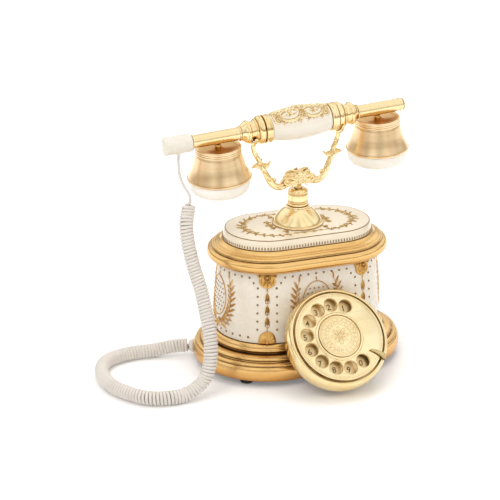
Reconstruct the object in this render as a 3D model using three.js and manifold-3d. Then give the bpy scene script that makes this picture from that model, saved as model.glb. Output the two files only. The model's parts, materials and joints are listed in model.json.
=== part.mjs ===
// French-style cradle telephone: stadium-plan base on four feet, tilted rotary dial on the front, domed stand with a
// sprung forked cradle, and a straight handset with two bell-shaped ends, hung with a curly cord.
// Units are millimetres, +Z is up, +X runs along the base to the right, -Y is the front.
import * as THREE from 'three';
import { mergeVertices } from 'three/addons/utils/BufferGeometryUtils.js';
import Module from 'manifold-3d';

const wasm = await Module();
wasm.setup();

// ---------------------------------------------------------------- driving dimensions
const GAP = 0.3;                 // clearance between touching pieces
const FLAT_HALF = 33.2;          // half length of the straight sides of every stadium outline
const PLINTH_R = 73.9;           // largest end radius of the plinth
const PLINTH_BOTTOM = 6.0;
const PLINTH_TOP = 37.9;
const BODY_TOP = 111.1;
const CORNICE_R = 59.2;
const CORNICE_BOTTOM = 111.4;
const CORNICE_TOP = 131.4;
const LID_BOTTOM = 131.7;
const LID_TOP = 141.9;
const FOOT_XY = [71.5, 46.0];
const FOOT_R = 6.6;
const SCREW_R = 63.0;            // base screws, radius from the end centre
const SCREW_ANGLE = 25.0;
const STEM_R = 3.5;
const COLLAR_TOP = 178.0;
const DOME_R = 25.5;
const CRADLE_Z = 187.0;          // centre of the cradle boss
const TILT = 4.0;                // cradle and handset lie this much right end up, degrees
const PLUNGE = 5.0;              // travel of the cradle
const HANDSET_Z = 244.5;         // handset axis above the table, on the stand's axis
const HANDSET_ROLL = 5.0;        // bells swing this far to the back
const GRIP_HALF = 31.0;
const CUP_R = 14.0;
const KNOB_R = 11.5;
const TUBE_R = 6.4;
const TUBE_END = 110.3;
const CAP_R = 9.0;
const CAP_END = 139.5;
const BELL_S = 84.0;
const BELL_RIM_R = 31.5;
const BELL_RIM_DEPTH = 41.2;
const MOUTH_DEPTH = 56.0;
const DIAL_CENTRE = [5.9, -92.5, 55.0];
const DIAL_LEAN = 48.0;          // wheel face leans back this far from upright-facing-up, degrees
const WHEEL_R = 44.5;
const HOLE_CIRCLE_R = 32.5;
const HOLE_R = 6.6;
const HOLE_FIRST = 64.0;         // angle of the first finger hole, counter-clockwise from +X
const HOLE_STEP = 26.4;
const STOP_ANGLE = -35.0;
const MEDALLION_R = 21.0;
const GEAR_MODULE = 0.8;
const GEAR_TEETH = 40;
const PINION_TEETH = 10;
const GOVERNOR_ANGLE = 135.0;
const CORD_R = 6.75;             // curly part of the cord, outer radius
const LEAD_R = 1.4;              // plain part of the cord
const COIL_SPLIT = 146.0;        // length of the hanging stretch of the coil
const GLAND_ANGLE = 157.0;       // on the plinth's left end

const RAD = Math.PI / 180;

// ---------------------------------------------------------------- materials
const mat = (color, roughness, metalness) => new THREE.MeshStandardMaterial({ color, roughness, metalness });
const GOLD = () => mat(0xe6c37a, 0.18, 1.0);
const SATIN = () => mat(0xc8995a, 0.42, 0.8);
const CREAM = () => mat(0xf2ebdc, 0.35, 0.0);
const WHITE = () => mat(0xf3f0ea, 0.4, 0.0);
const PORCELAIN = () => mat(0xf5efe6, 0.12, 0.0);
const RUBBER = () => mat(0x161514, 0.8, 0.0);
const STEEL = () => mat(0x9c9ea0, 0.35, 0.9);
const BRASS = () => mat(0xb58d4a, 0.35, 0.9);
const BOARD = () => mat(0x2d5a3a, 0.6, 0.0);
const DARK = () => mat(0x2a2826, 0.6, 0.0);

// ---------------------------------------------------------------- geometry helpers
function clean(source) {
  let g = source.clone();
  for (const name of Object.keys(g.attributes)) if (name !== 'position') g.deleteAttribute(name);
  g.clearGroups();
  g = mergeVertices(g, 1e-4);
  const a = g.index.array, keep = [];
  for (let i = 0; i < a.length; i += 3) {
    if (a[i] !== a[i + 1] && a[i + 1] !== a[i + 2] && a[i] !== a[i + 2]) keep.push(a[i], a[i + 1], a[i + 2]);
  }
  const p = g.attributes.position, A = new THREE.Vector3(), B = new THREE.Vector3(), C = new THREE.Vector3();
  let volume = 0;
  for (let i = 0; i < keep.length; i += 3) {
    A.fromBufferAttribute(p, keep[i]); B.fromBufferAttribute(p, keep[i + 1]); C.fromBufferAttribute(p, keep[i + 2]);
    volume += A.dot(B.cross(C));
  }
  if (volume < 0) for (let i = 0; i < keep.length; i += 3) [keep[i + 1], keep[i + 2]] = [keep[i + 2], keep[i + 1]];
  g.setIndex(keep);
  return g;
}

function solid(source) {
  const g = clean(source);
  return new wasm.Manifold(new wasm.Mesh({
    numProp: 3,
    vertProperties: new Float32Array(g.attributes.position.array),
    triVerts: new Uint32Array(g.index.array),
  }));
}

function geometry(manifold) {
  const m = manifold.getMesh();
  const g = new THREE.BufferGeometry();
  const n = m.numProp, count = m.vertProperties.length / n, pos = new Float32Array(count * 3);
  for (let i = 0; i < count; i++) for (let k = 0; k < 3; k++) pos[3 * i + k] = m.vertProperties[n * i + k];
  g.setAttribute('position', new THREE.BufferAttribute(pos, 3));
  g.setIndex(new THREE.BufferAttribute(new Uint32Array(m.triVerts), 1));
  return g;
}

const union = (...list) => geometry(list.slice(1).reduce((s, g) => s.add(solid(g)), solid(list[0])));
const cut = (body, ...tools) => geometry(tools.reduce((s, g) => s.subtract(solid(g)), solid(body)));

// A profile of [radius, height] pairs turned about +Z. Open profiles start and end on the axis.
function turned(profile, segments = 20, closedLoop = false) {
  const pts = profile.map(([r, z]) => new THREE.Vector2(Math.max(r, 0), z));
  if (closedLoop) pts.push(pts[0].clone());
  return clean(new THREE.LatheGeometry(pts, segments).rotateX(Math.PI / 2));
}

// The same, turned about +X with the height running along X.
function turnedX(profile, segments = 18, closedLoop = false) {
  const pts = profile.map(([s, r]) => new THREE.Vector2(Math.max(r, 0), s));
  if (closedLoop) pts.push(pts[0].clone());
  return clean(new THREE.LatheGeometry(pts, segments).rotateZ(-Math.PI / 2));
}

// A profile of [end radius, height] pairs carried round a stadium outline.
function stadium(profile, closedLoop = false, n = 11) {
  const ring = [];
  for (let i = 0; i <= n; i++) ring.push([1, -90 + 180 * i / n]);
  for (let i = 0; i <= n; i++) ring.push([-1, 90 + 180 * i / n]);
  const pos = [], idx = [], m = ring.length;
  for (const [R, z] of profile) {
    for (const [side, deg] of ring) pos.push(side * FLAT_HALF + R * Math.cos(deg * RAD), R * Math.sin(deg * RAD), z);
  }
  const rows = profile.length, last = closedLoop ? rows : rows - 1;
  for (let j = 0; j < last; j++) {
    const a = j * m, b = ((j + 1) % rows) * m;
    for (let i = 0; i < m; i++) {
      const k = (i + 1) % m;
      idx.push(a + i, a + k, b + k, a + i, b + k, b + i);
    }
  }
  if (!closedLoop) {
    const c0 = pos.length / 3;
    pos.push(0, 0, profile[0][1]);
    pos.push(0, 0, profile[rows - 1][1]);
    for (let i = 0; i < m; i++) {
      const k = (i + 1) % m, t = (rows - 1) * m;
      idx.push(c0, k, i, c0 + 1, t + i, t + k);
    }
  }
  const g = new THREE.BufferGeometry();
  g.setAttribute('position', new THREE.Float32BufferAttribute(pos, 3));
  g.setIndex(idx);
  return clean(g);
}

const disc = (r, z0, z1, n = 24) => new THREE.CylinderGeometry(r, r, z1 - z0, n).rotateX(Math.PI / 2).translate(0, 0, (z0 + z1) / 2);
const block = (x0, x1, y0, y1, z0, z1) => new THREE.BoxGeometry(x1 - x0, y1 - y0, z1 - z0).translate((x0 + x1) / 2, (y0 + y1) / 2, (z0 + z1) / 2);

function rod(points, radius, sides, steps) {
  const path = new THREE.CatmullRomCurve3(points.map((p) => new THREE.Vector3(...p)), false, 'centripetal');
  const section = new THREE.Shape(Array.from({ length: sides }, (_, i) => new THREE.Vector2(
    radius * Math.cos(2 * Math.PI * i / sides), radius * Math.sin(2 * Math.PI * i / sides))));
  return clean(new THREE.ExtrudeGeometry(section, { steps, extrudePath: path, bevelEnabled: false }));
}

function gear(teeth, width, z0, z1, bore) {
  const r = GEAR_MODULE * teeth / 2, pts = [], pitch = 2 * Math.PI / teeth;
  for (let i = 0; i < teeth; i++) {
    const c = i * pitch, root = r - 1.25 * GEAR_MODULE, tip = r + 0.8 * GEAR_MODULE;
    for (const [rad, f] of [[root, -0.3], [tip, -width / 3.6], [tip, width / 3.6], [root, 0.3]]) {
      pts.push(new THREE.Vector2(rad * Math.cos(c + f * pitch), rad * Math.sin(c + f * pitch)));
    }
  }
  const shape = new THREE.Shape(pts);
  if (bore) shape.holes.push(new THREE.Path(Array.from({ length: 16 }, (_, i) => new THREE.Vector2(
    bore * Math.cos(-2 * Math.PI * i / 16), bore * Math.sin(-2 * Math.PI * i / 16)))));
  return clean(new THREE.ExtrudeGeometry(shape, { depth: z1 - z0, bevelEnabled: false }).translate(0, 0, z0));
}

const phone = new THREE.Group();
function add(parent, name, source, material) {
  const g = clean(source);
  g.computeVertexNormals();
  const mesh = new THREE.Mesh(g, material);
  mesh.name = name;
  parent.add(mesh);
  return mesh;
}

// ---------------------------------------------------------------- base
const PLINTH_OUT = [
  [71.4, PLINTH_BOTTOM], [73.2, 8.5], [PLINTH_R, 13.5], [73.4, 19.0], [70.8, 22.8],
  [68.0, 24.6], [67.4, 26.2], [57.2, 28.4], [56.0, 29.8], [56.4, 32.4], [54.8, 36.0], [52.4, PLINTH_TOP],
];
const PLINTH_IN = [[46.5, PLINTH_TOP], [50.0, 26.0], [66.5, 20.0], [66.5, 9.2], [68.6, 9.2], [68.6, PLINTH_BOTTOM]];
const BODY_OUT = [[52.0, 38.2], [52.3, 50.0], [51.4, 72.0], [49.7, 93.0], [47.0, BODY_TOP]];
const screwSpots = [];
for (const sx of [1, -1]) for (const sy of [-1, 1]) {
  screwSpots.push([sx * (FLAT_HALF + SCREW_R * Math.cos(SCREW_ANGLE * RAD)), sy * SCREW_R * Math.sin(SCREW_ANGLE * RAD)]);
}
let plinth = stadium([...PLINTH_OUT, ...PLINTH_IN], true);
plinth = union(plinth, ...screwSpots.map(([x, y]) => disc(5, 9.2, 19, 10).translate(x, y, 0)));
plinth = cut(plinth, ...screwSpots.map(([x, y]) => disc(1.7, 8, 18.4, 8).translate(x, y, 0)));
add(phone, 'plinth', plinth, SATIN());

add(phone, 'base_plate', cut(stadium([[68.2, 7.4], [68.2, 8.9]]), ...screwSpots.map(([x, y]) => disc(1.8, 6, 10, 8).translate(x, y, 0))), STEEL());

const corners = [['front_right', 1, -1], ['front_left', -1, -1], ['rear_right', 1, 1], ['rear_left', -1, 1]];
corners.forEach(([where, sx, sy], i) => {
  add(phone, `foot_${where}`, turned([[0, 0], [FOOT_R - 0.8, 0], [FOOT_R, 0.8], [FOOT_R, 6.2], [FOOT_R - 0.6, 7.1], [0, 7.1]], 14).translate(sx * FOOT_XY[0], sy * FOOT_XY[1], 0), RUBBER());
  const [x, y] = [sx * Math.abs(screwSpots[i][0]), sy * Math.abs(screwSpots[i][1])];
  add(phone, `base_screw_${where}`, turned([[0, 5.2], [2.6, 5.2], [3.4, 6.0], [3.4, 7.1], [1.4, 7.1], [1.4, 17.6], [0.4, 18.2], [0, 18.2]], 8).translate(x, y, 0), STEEL());
});

const bodyIn = BODY_OUT.map(([R, z]) => [R - 3.0, z]).reverse();
const CONDUIT = [DIAL_CENTRE[0], 66.0];
const conduitTool = (r) => new THREE.CylinderGeometry(r, r, 30, 16).translate(CONDUIT[0], -52, CONDUIT[1]);
add(phone, 'body_shell', cut(stadium([...BODY_OUT, ...bodyIn], true), conduitTool(6.3)), CREAM());
add(phone, 'dial_cable_bush', new THREE.LatheGeometry([[3.5, 0.5], [5.8, 0.5], [5.8, 6.1], [8, 6.1], [8, 7.7], [3.5, 7.7], [3.5, 0.5]].map(([r, z]) => new THREE.Vector2(r, z)), 14)
  .translate(CONDUIT[0], -54.0, CONDUIT[1]), RUBBER());

add(phone, 'cornice_moulding', stadium([
  [45.2, CORNICE_BOTTOM], [53.0, CORNICE_BOTTOM], [56.8, 113.4], [58.7, 115.6], [CORNICE_R, 118.2], [58.6, 121.0],
  [55.4, 124.2], [53.0, 126.2], [47.4, 128.2], [43.8, CORNICE_TOP], [39.5, CORNICE_TOP], [39.5, 116.0],
], true), SATIN());

add(phone, 'top_lid', cut(stadium([
  [43.2, LID_BOTTOM], [43.4, 133.4], [42.8, 137.2], [41.5, 140.6], [39.6, LID_TOP], [20.0, LID_TOP + 0.0001],
]), stadium([[39.4, LID_BOTTOM - 1], [39.4, 133.0], [37.0, 137.2]]), disc(4.4, 130, 145, 20)), CREAM());

// ---------------------------------------------------------------- stand
add(phone, 'stand_dome', turned([
  [DOME_R, 142.2], [DOME_R, 143.5], [24.2, 144.8], [21.9, 147.9], [18.4, 153.0], [14.4, 157.2], [10.6, 160.7],
  [4.2, 160.7], [4.2, 155.0], [12.0, 152.2], [21.6, 142.2],
], 20, true), GOLD());
add(phone, 'stand_collar', turned([
  [10.2, 161.0], [10.2, 163.2], [9.2, 164.4], [10.4, 165.6], [10.2, 172.0], [9.3, 173.0], [10.0, 174.2],
  [7.2, COLLAR_TOP], [4.2, COLLAR_TOP], [4.2, 161.0],
], 16, true), GOLD());

// ---------------------------------------------------------------- plunger, spring, switch
add(phone, 'cradle_stem', turned([
  [0, 108.6], [2.6, 108.6], [STEM_R, 109.8], [STEM_R, 124.0], [6.0, 124.0], [6.0, 126.2], [STEM_R, 126.2], [STEM_R, 181.7], [0, 181.7],
], 14), BRASS());
add(phone, 'switch_bracket', cut(
  union(block(-17, 17, -9, 9, 107.9, 109.9), block(-17, -15, -9, 9, 108.5, 136.9), block(15, 17, -9, 9, 108.5, 136.9)),
  disc(4.2, 100, 115, 16)), STEEL());
{
  const pts = [];
  const turns = 4, n = turns * 8;
  for (let i = 0; i <= n; i++) pts.push([5.1 * Math.cos(2 * Math.PI * i / 8), 5.1 * Math.sin(2 * Math.PI * i / 8), 110.9 + 11.9 * i / n]);
  add(phone, 'plunger_spring', rod(pts, 0.6, 5, 32), STEEL());
}
add(phone, 'hook_switch', union(block(-9, 9, -5, 5, 98.0, 106.0), block(-3, 3, -3, 3, 106.0, 107.2), block(-9, -8, -5, 5, 105, 107.6), block(8, 9, -5, 5, 105, 107.6)), DARK());

// ---------------------------------------------------------------- inside the base
add(phone, 'circuit_board', union(block(-78, -38, -28, 28, 14.0, 15.6), ...[[-74, -24], [-42, -24], [-74, 24], [-42, 24]].map(([x, y]) => disc(2.2, 9.2, 14.4, 10).translate(x, y, 0)),
  block(-70, -56, -14, -4, 15.4, 21), block(-54, -44, 2, 16, 15.4, 19)), BOARD());
const GONG = [[0, 55.0], [6.0, 54.4], [13.0, 51.8], [17.0, 47.6], [18.0, 44.0], [16.6, 44.0], [15.4, 47.2], [12.0, 50.4], [5.0, 52.8], [3.0, 53.0], [3.0, 9.2], [0, 9.2]].reverse();
add(phone, 'ringer_gong_left', turned(GONG, 16).translate(-22.6, -12, 0), BRASS());
add(phone, 'ringer_gong_right', turned(GONG, 16).translate(22.6, -12, 0), BRASS());
add(phone, 'ringer_coil', union(block(-14, 14, 14, 30, 9.2, 36), block(-4, 4, 5.5, 16, 40.0, 41.6), block(-4, 4, 5.5, 16, 50.2, 51.8), block(-4, 4, 14, 18, 34, 51.8)), DARK());
add(phone, 'ringer_clapper', union(disc(1.5, 41.9, 49.9, 12).translate(0, 9, 0), block(-0.7, 0.7, -11, 9, 45.0, 46.2), new THREE.SphereGeometry(2.6, 8, 6).translate(0, -12, 45.6)), BRASS());

// ---------------------------------------------------------------- dial
const dial = new THREE.Group();
dial.position.set(...DIAL_CENTRE);
dial.rotation.x = DIAL_LEAN * RAD;
dial.updateMatrixWorld(true);
phone.add(dial);
const toDial = dial.matrixWorld.clone().invert();
const growth = (profile, by) => profile.map(([R, z]) => [R + by, z]);
const keepOut = [
  stadium([...growth(BODY_OUT.slice(0, 1), 0.35).map(([R]) => [R, 37.0]), ...growth(BODY_OUT, 0.35)]).applyMatrix4(toDial),
  stadium([[74.3, 4], [74.3, 22.4], [71.0, 23.0], [71.0, 24.2], [68.2, 27.0], [58.0, 29.0], [57.0, 35.4], [53.6, 38.4]]).applyMatrix4(toDial),
];
const HOUSING = [
  [46.2, 0.0], [47.4, 0.9], [49.4, -0.8], [51.0, -8.0], [50.6, -15.0], [48.4, -20.5], [43.0, -26.0], [34.5, -30.0], [22.0, -32.4], [0, -33.0],
  [0, -30.6], [21.5, -30.0], [33.4, -27.8], [41.4, -24.0], [46.2, -19.2], [48.3, -14.6], [48.5, -9.0],
];
add(dial, 'dial_housing', cut(turned([...HOUSING.slice(10), ...HOUSING.slice(0, 10)], 30), ...keepOut), GOLD());
add(dial, 'number_plate', turned([[4.0, -7.0], [46.6, -7.0], [47.2, -6.2], [46.6, -5.8], [4.0, -5.8]], 28, true), GOLD());
const holeSpots = Array.from({ length: 10 }, (_, i) => (HOLE_FIRST + HOLE_STEP * i) * RAD).map((t) => [HOLE_CIRCLE_R * Math.cos(t), HOLE_CIRCLE_R * Math.sin(t)]);
add(dial, 'finger_wheel', cut(turned([
  [0, -1.2], [42.0, -1.2], [44.0, -1.0], [WHEEL_R, -0.4], [WHEEL_R, 0.4], [43.6, 1.2], [24.2, 1.2], [23.6, 2.4], [22.2, 2.6], [21.4, 2.0], [21.4, 1.2], [0, 1.2],
], 36), ...holeSpots.map(([x, y]) => disc(HOLE_R, -4, 4, 12).translate(x, y, 0))), GOLD());
add(dial, 'dial_medallion', turned([[0, 1.5], [20.4, 1.5], [MEDALLION_R, 1.9], [20.6, 2.7], [12.0, 3.2], [0, 3.4]], 24), GOLD());
{
  const stop = union(block(29.0, 49.2, -2.6, 2.6, 2.1, 3.5), block(46.5, 49.2, -2.6, 2.6, 1.3, 2.3));
  add(dial, 'finger_stop', clean(stop).rotateZ(STOP_ANGLE * RAD), GOLD());
}
add(dial, 'dial_shaft', turned([[0, -21.5], [3.0, -21.5], [3.0, -1.5], [0, -1.5]], 14), STEEL());
add(dial, 'dial_gear', gear(GEAR_TEETH, 0.42, -12.0, -10.0, 3.3), BRASS());
const CENTRES = GEAR_MODULE * (GEAR_TEETH + PINION_TEETH) / 2 + 0.12;
const gx = CENTRES * Math.cos(GOVERNOR_ANGLE * RAD), gy = CENTRES * Math.sin(GOVERNOR_ANGLE * RAD);
{
  // Tooth 0 of the pinion faces a gap of the gear at rest.
  const pinionTurn = (GOVERNOR_ANGLE + 180) * RAD + Math.PI / PINION_TEETH
    + (GEAR_TEETH / PINION_TEETH) * 0;
  const pinion = gear(PINION_TEETH, 0.42, -12.0, -10.0, 0).rotateZ(pinionTurn);
  add(dial, 'dial_governor', union(pinion, disc(1.2, -24, -9.4, 8), disc(7.5, -23.4, -20.4, 14)).translate(gx, gy, 0), BRASS());
}
const posts = [90, 210, 330].map((d) => disc(2.0, -15, -7.3, 10).translate(30 * Math.cos(d * RAD), 30 * Math.sin(d * RAD), 0));
add(dial, 'dial_frame', cut(union(disc(34, -16, -14.4, 20), ...posts), disc(3.3, -20, -10, 16), disc(1.5, -20, -10, 12).translate(gx, gy, 0)), STEEL());
add(dial, 'return_spring', turned([[4.0, -19.4], [10.0, -19.4], [10.0, -16.4], [4.0, -16.4]], 16, true), STEEL());

// ---------------------------------------------------------------- cradle
const cradle = new THREE.Group();
cradle.position.set(0, 0, CRADLE_Z);
cradle.rotation.y = -TILT * RAD;
phone.add(cradle);
const rise = HANDSET_Z - CRADLE_Z;
const axisUp = rise * Math.cos(TILT * RAD);          // handset axis above the boss, in the leaning frame
const axisOver = rise * Math.sin(TILT * RAD);        // and along it
add(cradle, 'cradle_hub', cut(union(
  new THREE.SphereGeometry(1, 14, 8).rotateX(Math.PI / 2).scale(11.6, 7.4, 8.0).translate(0, 0, 1),
  new THREE.SphereGeometry(1, 10, 6).scale(4.6, 3.2, 4.6).translate(0, -5.6, 0.6), new THREE.SphereGeometry(1, 10, 6).scale(4.6, 3.2, 4.6).translate(0, 5.6, 0.6),
  disc(5.4, -5.0, 0, 16), new THREE.SphereGeometry(2.4, 8, 5).translate(7.6, 0, 7.4), new THREE.SphereGeometry(2.4, 8, 5).translate(-7.6, 0, 7.4)),
  block(11.0, 20, -10, 10, -10, 10), block(-20, -11.0, -10, 10, -10, 10), block(-10, 10, -10, 10, -12, -4.6)), GOLD());
for (const [side, name, inner] of [[-1, 'left', KNOB_R + 0.1], [1, 'right', CUP_R + 0.4]]) {
  const thick = 2.4, half = 1.7;
  const foot = axisUp - inner - thick / 2;
  const path = [[11.4, -2.6], [15, -3.8], [20.5, -4.4], [26.5, -1.4], [31, 5.2], [34.8, 13], [37.6, 21], [41.2, 30], [44.2, 37], [45.0, foot]]
    .map(([x, z]) => [side * x, 0, z]);
  const fork = [];
  for (let i = 0; i <= 8; i++) fork.push([Math.cos((-90 - 62 + 124 * i / 8) * RAD), Math.sin((-90 - 62 + 124 * i / 8) * RAD)]);
  const ring = new THREE.Shape([...fork.map(([c, s]) => new THREE.Vector2((inner + thick) * c, (inner + thick) * s)), ...fork.reverse().map(([c, s]) => new THREE.Vector2(inner * c, inner * s))]);
  const saddle = new THREE.ExtrudeGeometry(ring, { depth: 2 * half, bevelEnabled: false }).translate(0, 0, -half)
    .applyMatrix4(new THREE.Matrix4().makeBasis(new THREE.Vector3(0, 1, 0), new THREE.Vector3(0, 0, 1), new THREE.Vector3(1, 0, 0))).translate(side * 45.0, 0, axisUp);
  const leafIn = rod([[36.4, 18.5], [34.0, 20.6], [31.2, 19.6], [29.6, 21.6]].map(([x, z]) => [side * x, 0, z]), 1.3, 5, 6);
  const leafOut = rod([[38.2, 22.0], [41.0, 20.6], [43.6, 21.8], [46.0, 20.2]].map(([x, z]) => [side * x, 0, z]), 1.3, 5, 6);
  const scroll = rod([[29.6, 4.4], [26.0, 5.4], [22.4, 3.2]].map(([x, z]) => [side * x, 0, z]), 1.2, 5, 5);
  add(cradle, `cradle_arm_${name}`, union(rod(path, 2.7, 8, 22), saddle, leafIn, leafOut, scroll), GOLD());
}

// ---------------------------------------------------------------- handset
const handset = new THREE.Group();
handset.position.set(0, 0, HANDSET_Z);
handset.rotation.order = 'YXZ';
handset.rotation.set(HANDSET_ROLL * RAD, -TILT * RAD, 0);
phone.add(handset);
const BORE = 5.2;
const GRIP = [[-GRIP_HALF + 0.15, 12.6], [-26, 13.4], [-20, 14.5], [-13, 15.5], [-6, 16.0], [0, 16.1], [6, 16.0], [13, 15.5], [20, 14.5], [26, 13.4], [GRIP_HALF - 0.15, 12.6]];
add(handset, 'handset_grip', turnedX([...GRIP, [GRIP_HALF - 0.15, BORE], [-GRIP_HALF + 0.15, BORE]], 20, true), PORCELAIN());
{
  const outer = GRIP.slice(1, -1).map(([s, r]) => [s, r + 1.7]), inner = GRIP.slice(1, -1).map(([s, r]) => [s, r + 0.3]).reverse();
  const skin = turnedX([...outer, ...inner], 20, true);
  add(handset, 'grip_filigree', cut(skin, block(-40, 40, -30, 30, -30, 5.0)), GOLD());
}
add(handset, 'handset_core_tube', turnedX([[-60.2, 4.8], [60.2, 4.8], [60.2, 3.6], [-60.2, 3.6]], 12, true), STEEL());
for (const [side, name] of [[-1, 'left'], [1, 'right']]) {
  const sx = (list) => list.map(([s, r]) => [side * s, r]);
  add(handset, `ferrule_${name}`, turnedX(sx([[31.15, 12.6], [32.0, 13.9], [34.0, 14.4], [36.6, 14.2], [37.9, 13.2], [37.9, BORE], [31.15, BORE]]), 18, true), GOLD());
  add(handset, `knob_${name}`, turnedX(sx([[38.2, 13.2], [39.4, CUP_R], [42.8, CUP_R], [46.6, 10.9], [51.0, 10.9], [53.4, KNOB_R], [56.6, 10.8], [60.9, 7.2], [60.9, BORE], [38.2, BORE]]), 16, true), GOLD());
  const far = side < 0 ? 118.6 : TUBE_END;
  add(handset, `tube_${name}`, turnedX(sx([[61.2, 7.3], [62.6, 7.1], [63.6, TUBE_R], [far, TUBE_R], [far, 4.2], [61.2, 4.2]]), 16, true), GOLD());
  const bell = new THREE.Group();
  bell.position.set(side * BELL_S, 0, 0);
  handset.add(bell);
  const [bellName, capName, capsuleName] = side < 0 ? ['receiver_bell', 'receiver_cap', 'receiver_capsule'] : ['transmitter_bell', 'transmitter_cap', 'transmitter_capsule'];
  add(bell, bellName, turned([
    [0, -12.8], [18.8, -13.4], [21.6, -24.0], [25.2, -34.0], [29.0, -BELL_RIM_DEPTH],
    [BELL_RIM_R, -BELL_RIM_DEPTH], [31.0, -39.2], [28.0, -33.0], [25.4, -26.0], [23.4, -18.6], [22.3, -13.4], [22.4, -9.6], [21.4, -8.6], [20.0, -8.9],
    [18.4, -10.2], [6.8, -10.8], [5.8, -9.8], [5.2, -6.8], [0, -6.8],
  ], 20), GOLD());
  const ports = [[0, 0], ...Array.from({ length: 6 }, (_, i) => [9 * Math.cos(i * Math.PI / 3), 9 * Math.sin(i * Math.PI / 3)])];
  add(bell, capName, cut(turned([
    [0, -55.2], [19.6, -MOUTH_DEPTH], [26.4, -54.9], [29.4, -50.6], [30.2, -45.6], [30.0, -41.5], [27.8, -41.5], [27.8, -46.0], [26.8, -50.4], [24.6, -52.8], [0, -52.8],
  ], 18), ...ports.map(([x, y]) => disc(1.5, -60, -45, 6).translate(x, y, 0))), WHITE());
  add(bell, capsuleName, turned([[0, -51.6], [20.0, -51.6], [21.0, -50.6], [21.0, -41.0], [17.0, -39.0], [0, -38.4]], 16), STEEL());
}
add(handset, 'tube_end_button', turnedX([[106.0, 0], [106.0, 3.8], [TUBE_END + GAP, 3.8], [TUBE_END + GAP, 6.3], [111.5, 6.0], [112.2, 4.6], [112.4, 0]], 14), GOLD());
add(handset, 'cord_cap', turnedX([[-CAP_END, 0], [-CAP_END, 7.8], [-138.6, 8.7], [-136.6, CAP_R], [-112.4, CAP_R], [-111.4, 8.8], [-110.9, 8.2], [-110.9, 6.7], [-119.2, 6.7], [-119.2, 0]], 18), WHITE());

// ---------------------------------------------------------------- cord
const LEAD = [[-123.1, 0.75, 226.4], [-123.4, 0.2, 217], [-123.0, -0.6, 207], [-120.6, -1.4, 198], [-116.6, -2.0, 190], [-113.6, -1.8, 184.4], [-112.6, -1.2, 178.6]];
const COIL = [[-113.6, -1.6, 176.4], [-116.6, -4.6, 167], [-119.6, -8.4, 157], [-119.4, -14, 138.5], [-116.8, -22, 117.5], [-113.6, -32, 98], [-112.4, -43, 79], [-112.4, -54, 60.2], [-113.8, -60.4, 46.5],
  [-117.5, -64.6, 29.6], [-126, -66.0, 15.6], [-142, -67.6, 7.6], [-161, -67.6, 7.0], [-178.4, -60.8, 7.0], [-192.6, -44.4, 7.0], [-202.8, -21.3, 7.0], [-203.4, 8.9, 7.0], [-192.4, 32.5, 7.0], [-175, 41.0, 7.0], [-157, 43.2, 7.0], [-140, 41.4, 7.6], [-126, 38.2, 10.0], [-115, 34.5, 11.8], [-106.4, 31.1, 12.0]];
const coilPath = new THREE.CatmullRomCurve3(COIL.map((p) => new THREE.Vector3(...p)), false, 'centripetal');
coilPath.arcLengthDivisions = 1200;
const coilLength = coilPath.getLength();
class Stretch extends THREE.Curve {
  constructor(from, to) { super(); this.from = from; this.to = to; }
  getPoint(t, target = new THREE.Vector3()) {
    return target.copy(coilPath.getPointAt(Math.min(1, Math.max(0, (this.from + (this.to - this.from) * t) / coilLength))));
  }
}
const coilTube = (from, to, steps) => clean(new THREE.ExtrudeGeometry(
  new THREE.Shape(Array.from({ length: 10 }, (_, i) => new THREE.Vector2(CORD_R * Math.cos(2 * Math.PI * i / 10), CORD_R * Math.sin(2 * Math.PI * i / 10)))),
  { steps, extrudePath: new Stretch(from, to), bevelEnabled: false }));
add(phone, 'cord_lead', rod(LEAD, LEAD_R, 8, 16), WHITE());
add(phone, 'cord_coil_hanging', coilTube(0, COIL_SPLIT - GAP / 2, 12), WHITE());
add(phone, 'cord_coil_table', coilTube(COIL_SPLIT + GAP / 2, coilLength - 1.0, 32), WHITE());
{
  const gland = new THREE.Group();
  gland.position.set(-FLAT_HALF, 0, 12.0);
  gland.rotation.z = GLAND_ANGLE * RAD;
  phone.add(gland);
  add(gland, 'cord_gland', turnedX([[74.3, 0], [74.3, 6.6], [75.6, 6.8], [76.6, 5.6], [78.0, 4.6], [78.4, 3.8], [78.4, 0]], 14), WHITE());
}

// ---------------------------------------------------------------- origin: centre of the footprint, on the table, without the free cord
phone.updateMatrixWorld(true);
const CORD_NODES = ['cord_lead', 'cord_coil_hanging', 'cord_coil_table'];
const extent = new THREE.Box3();
phone.traverse((o) => { if (o.isMesh && !CORD_NODES.includes(o.name)) extent.expandByObject(o, true); });
phone.position.set(-(extent.min.x + extent.max.x) / 2, -(extent.min.y + extent.max.y) / 2, -extent.min.z);
phone.updateMatrixWorld(true);

export default phone;
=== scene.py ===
import json
import math

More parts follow.
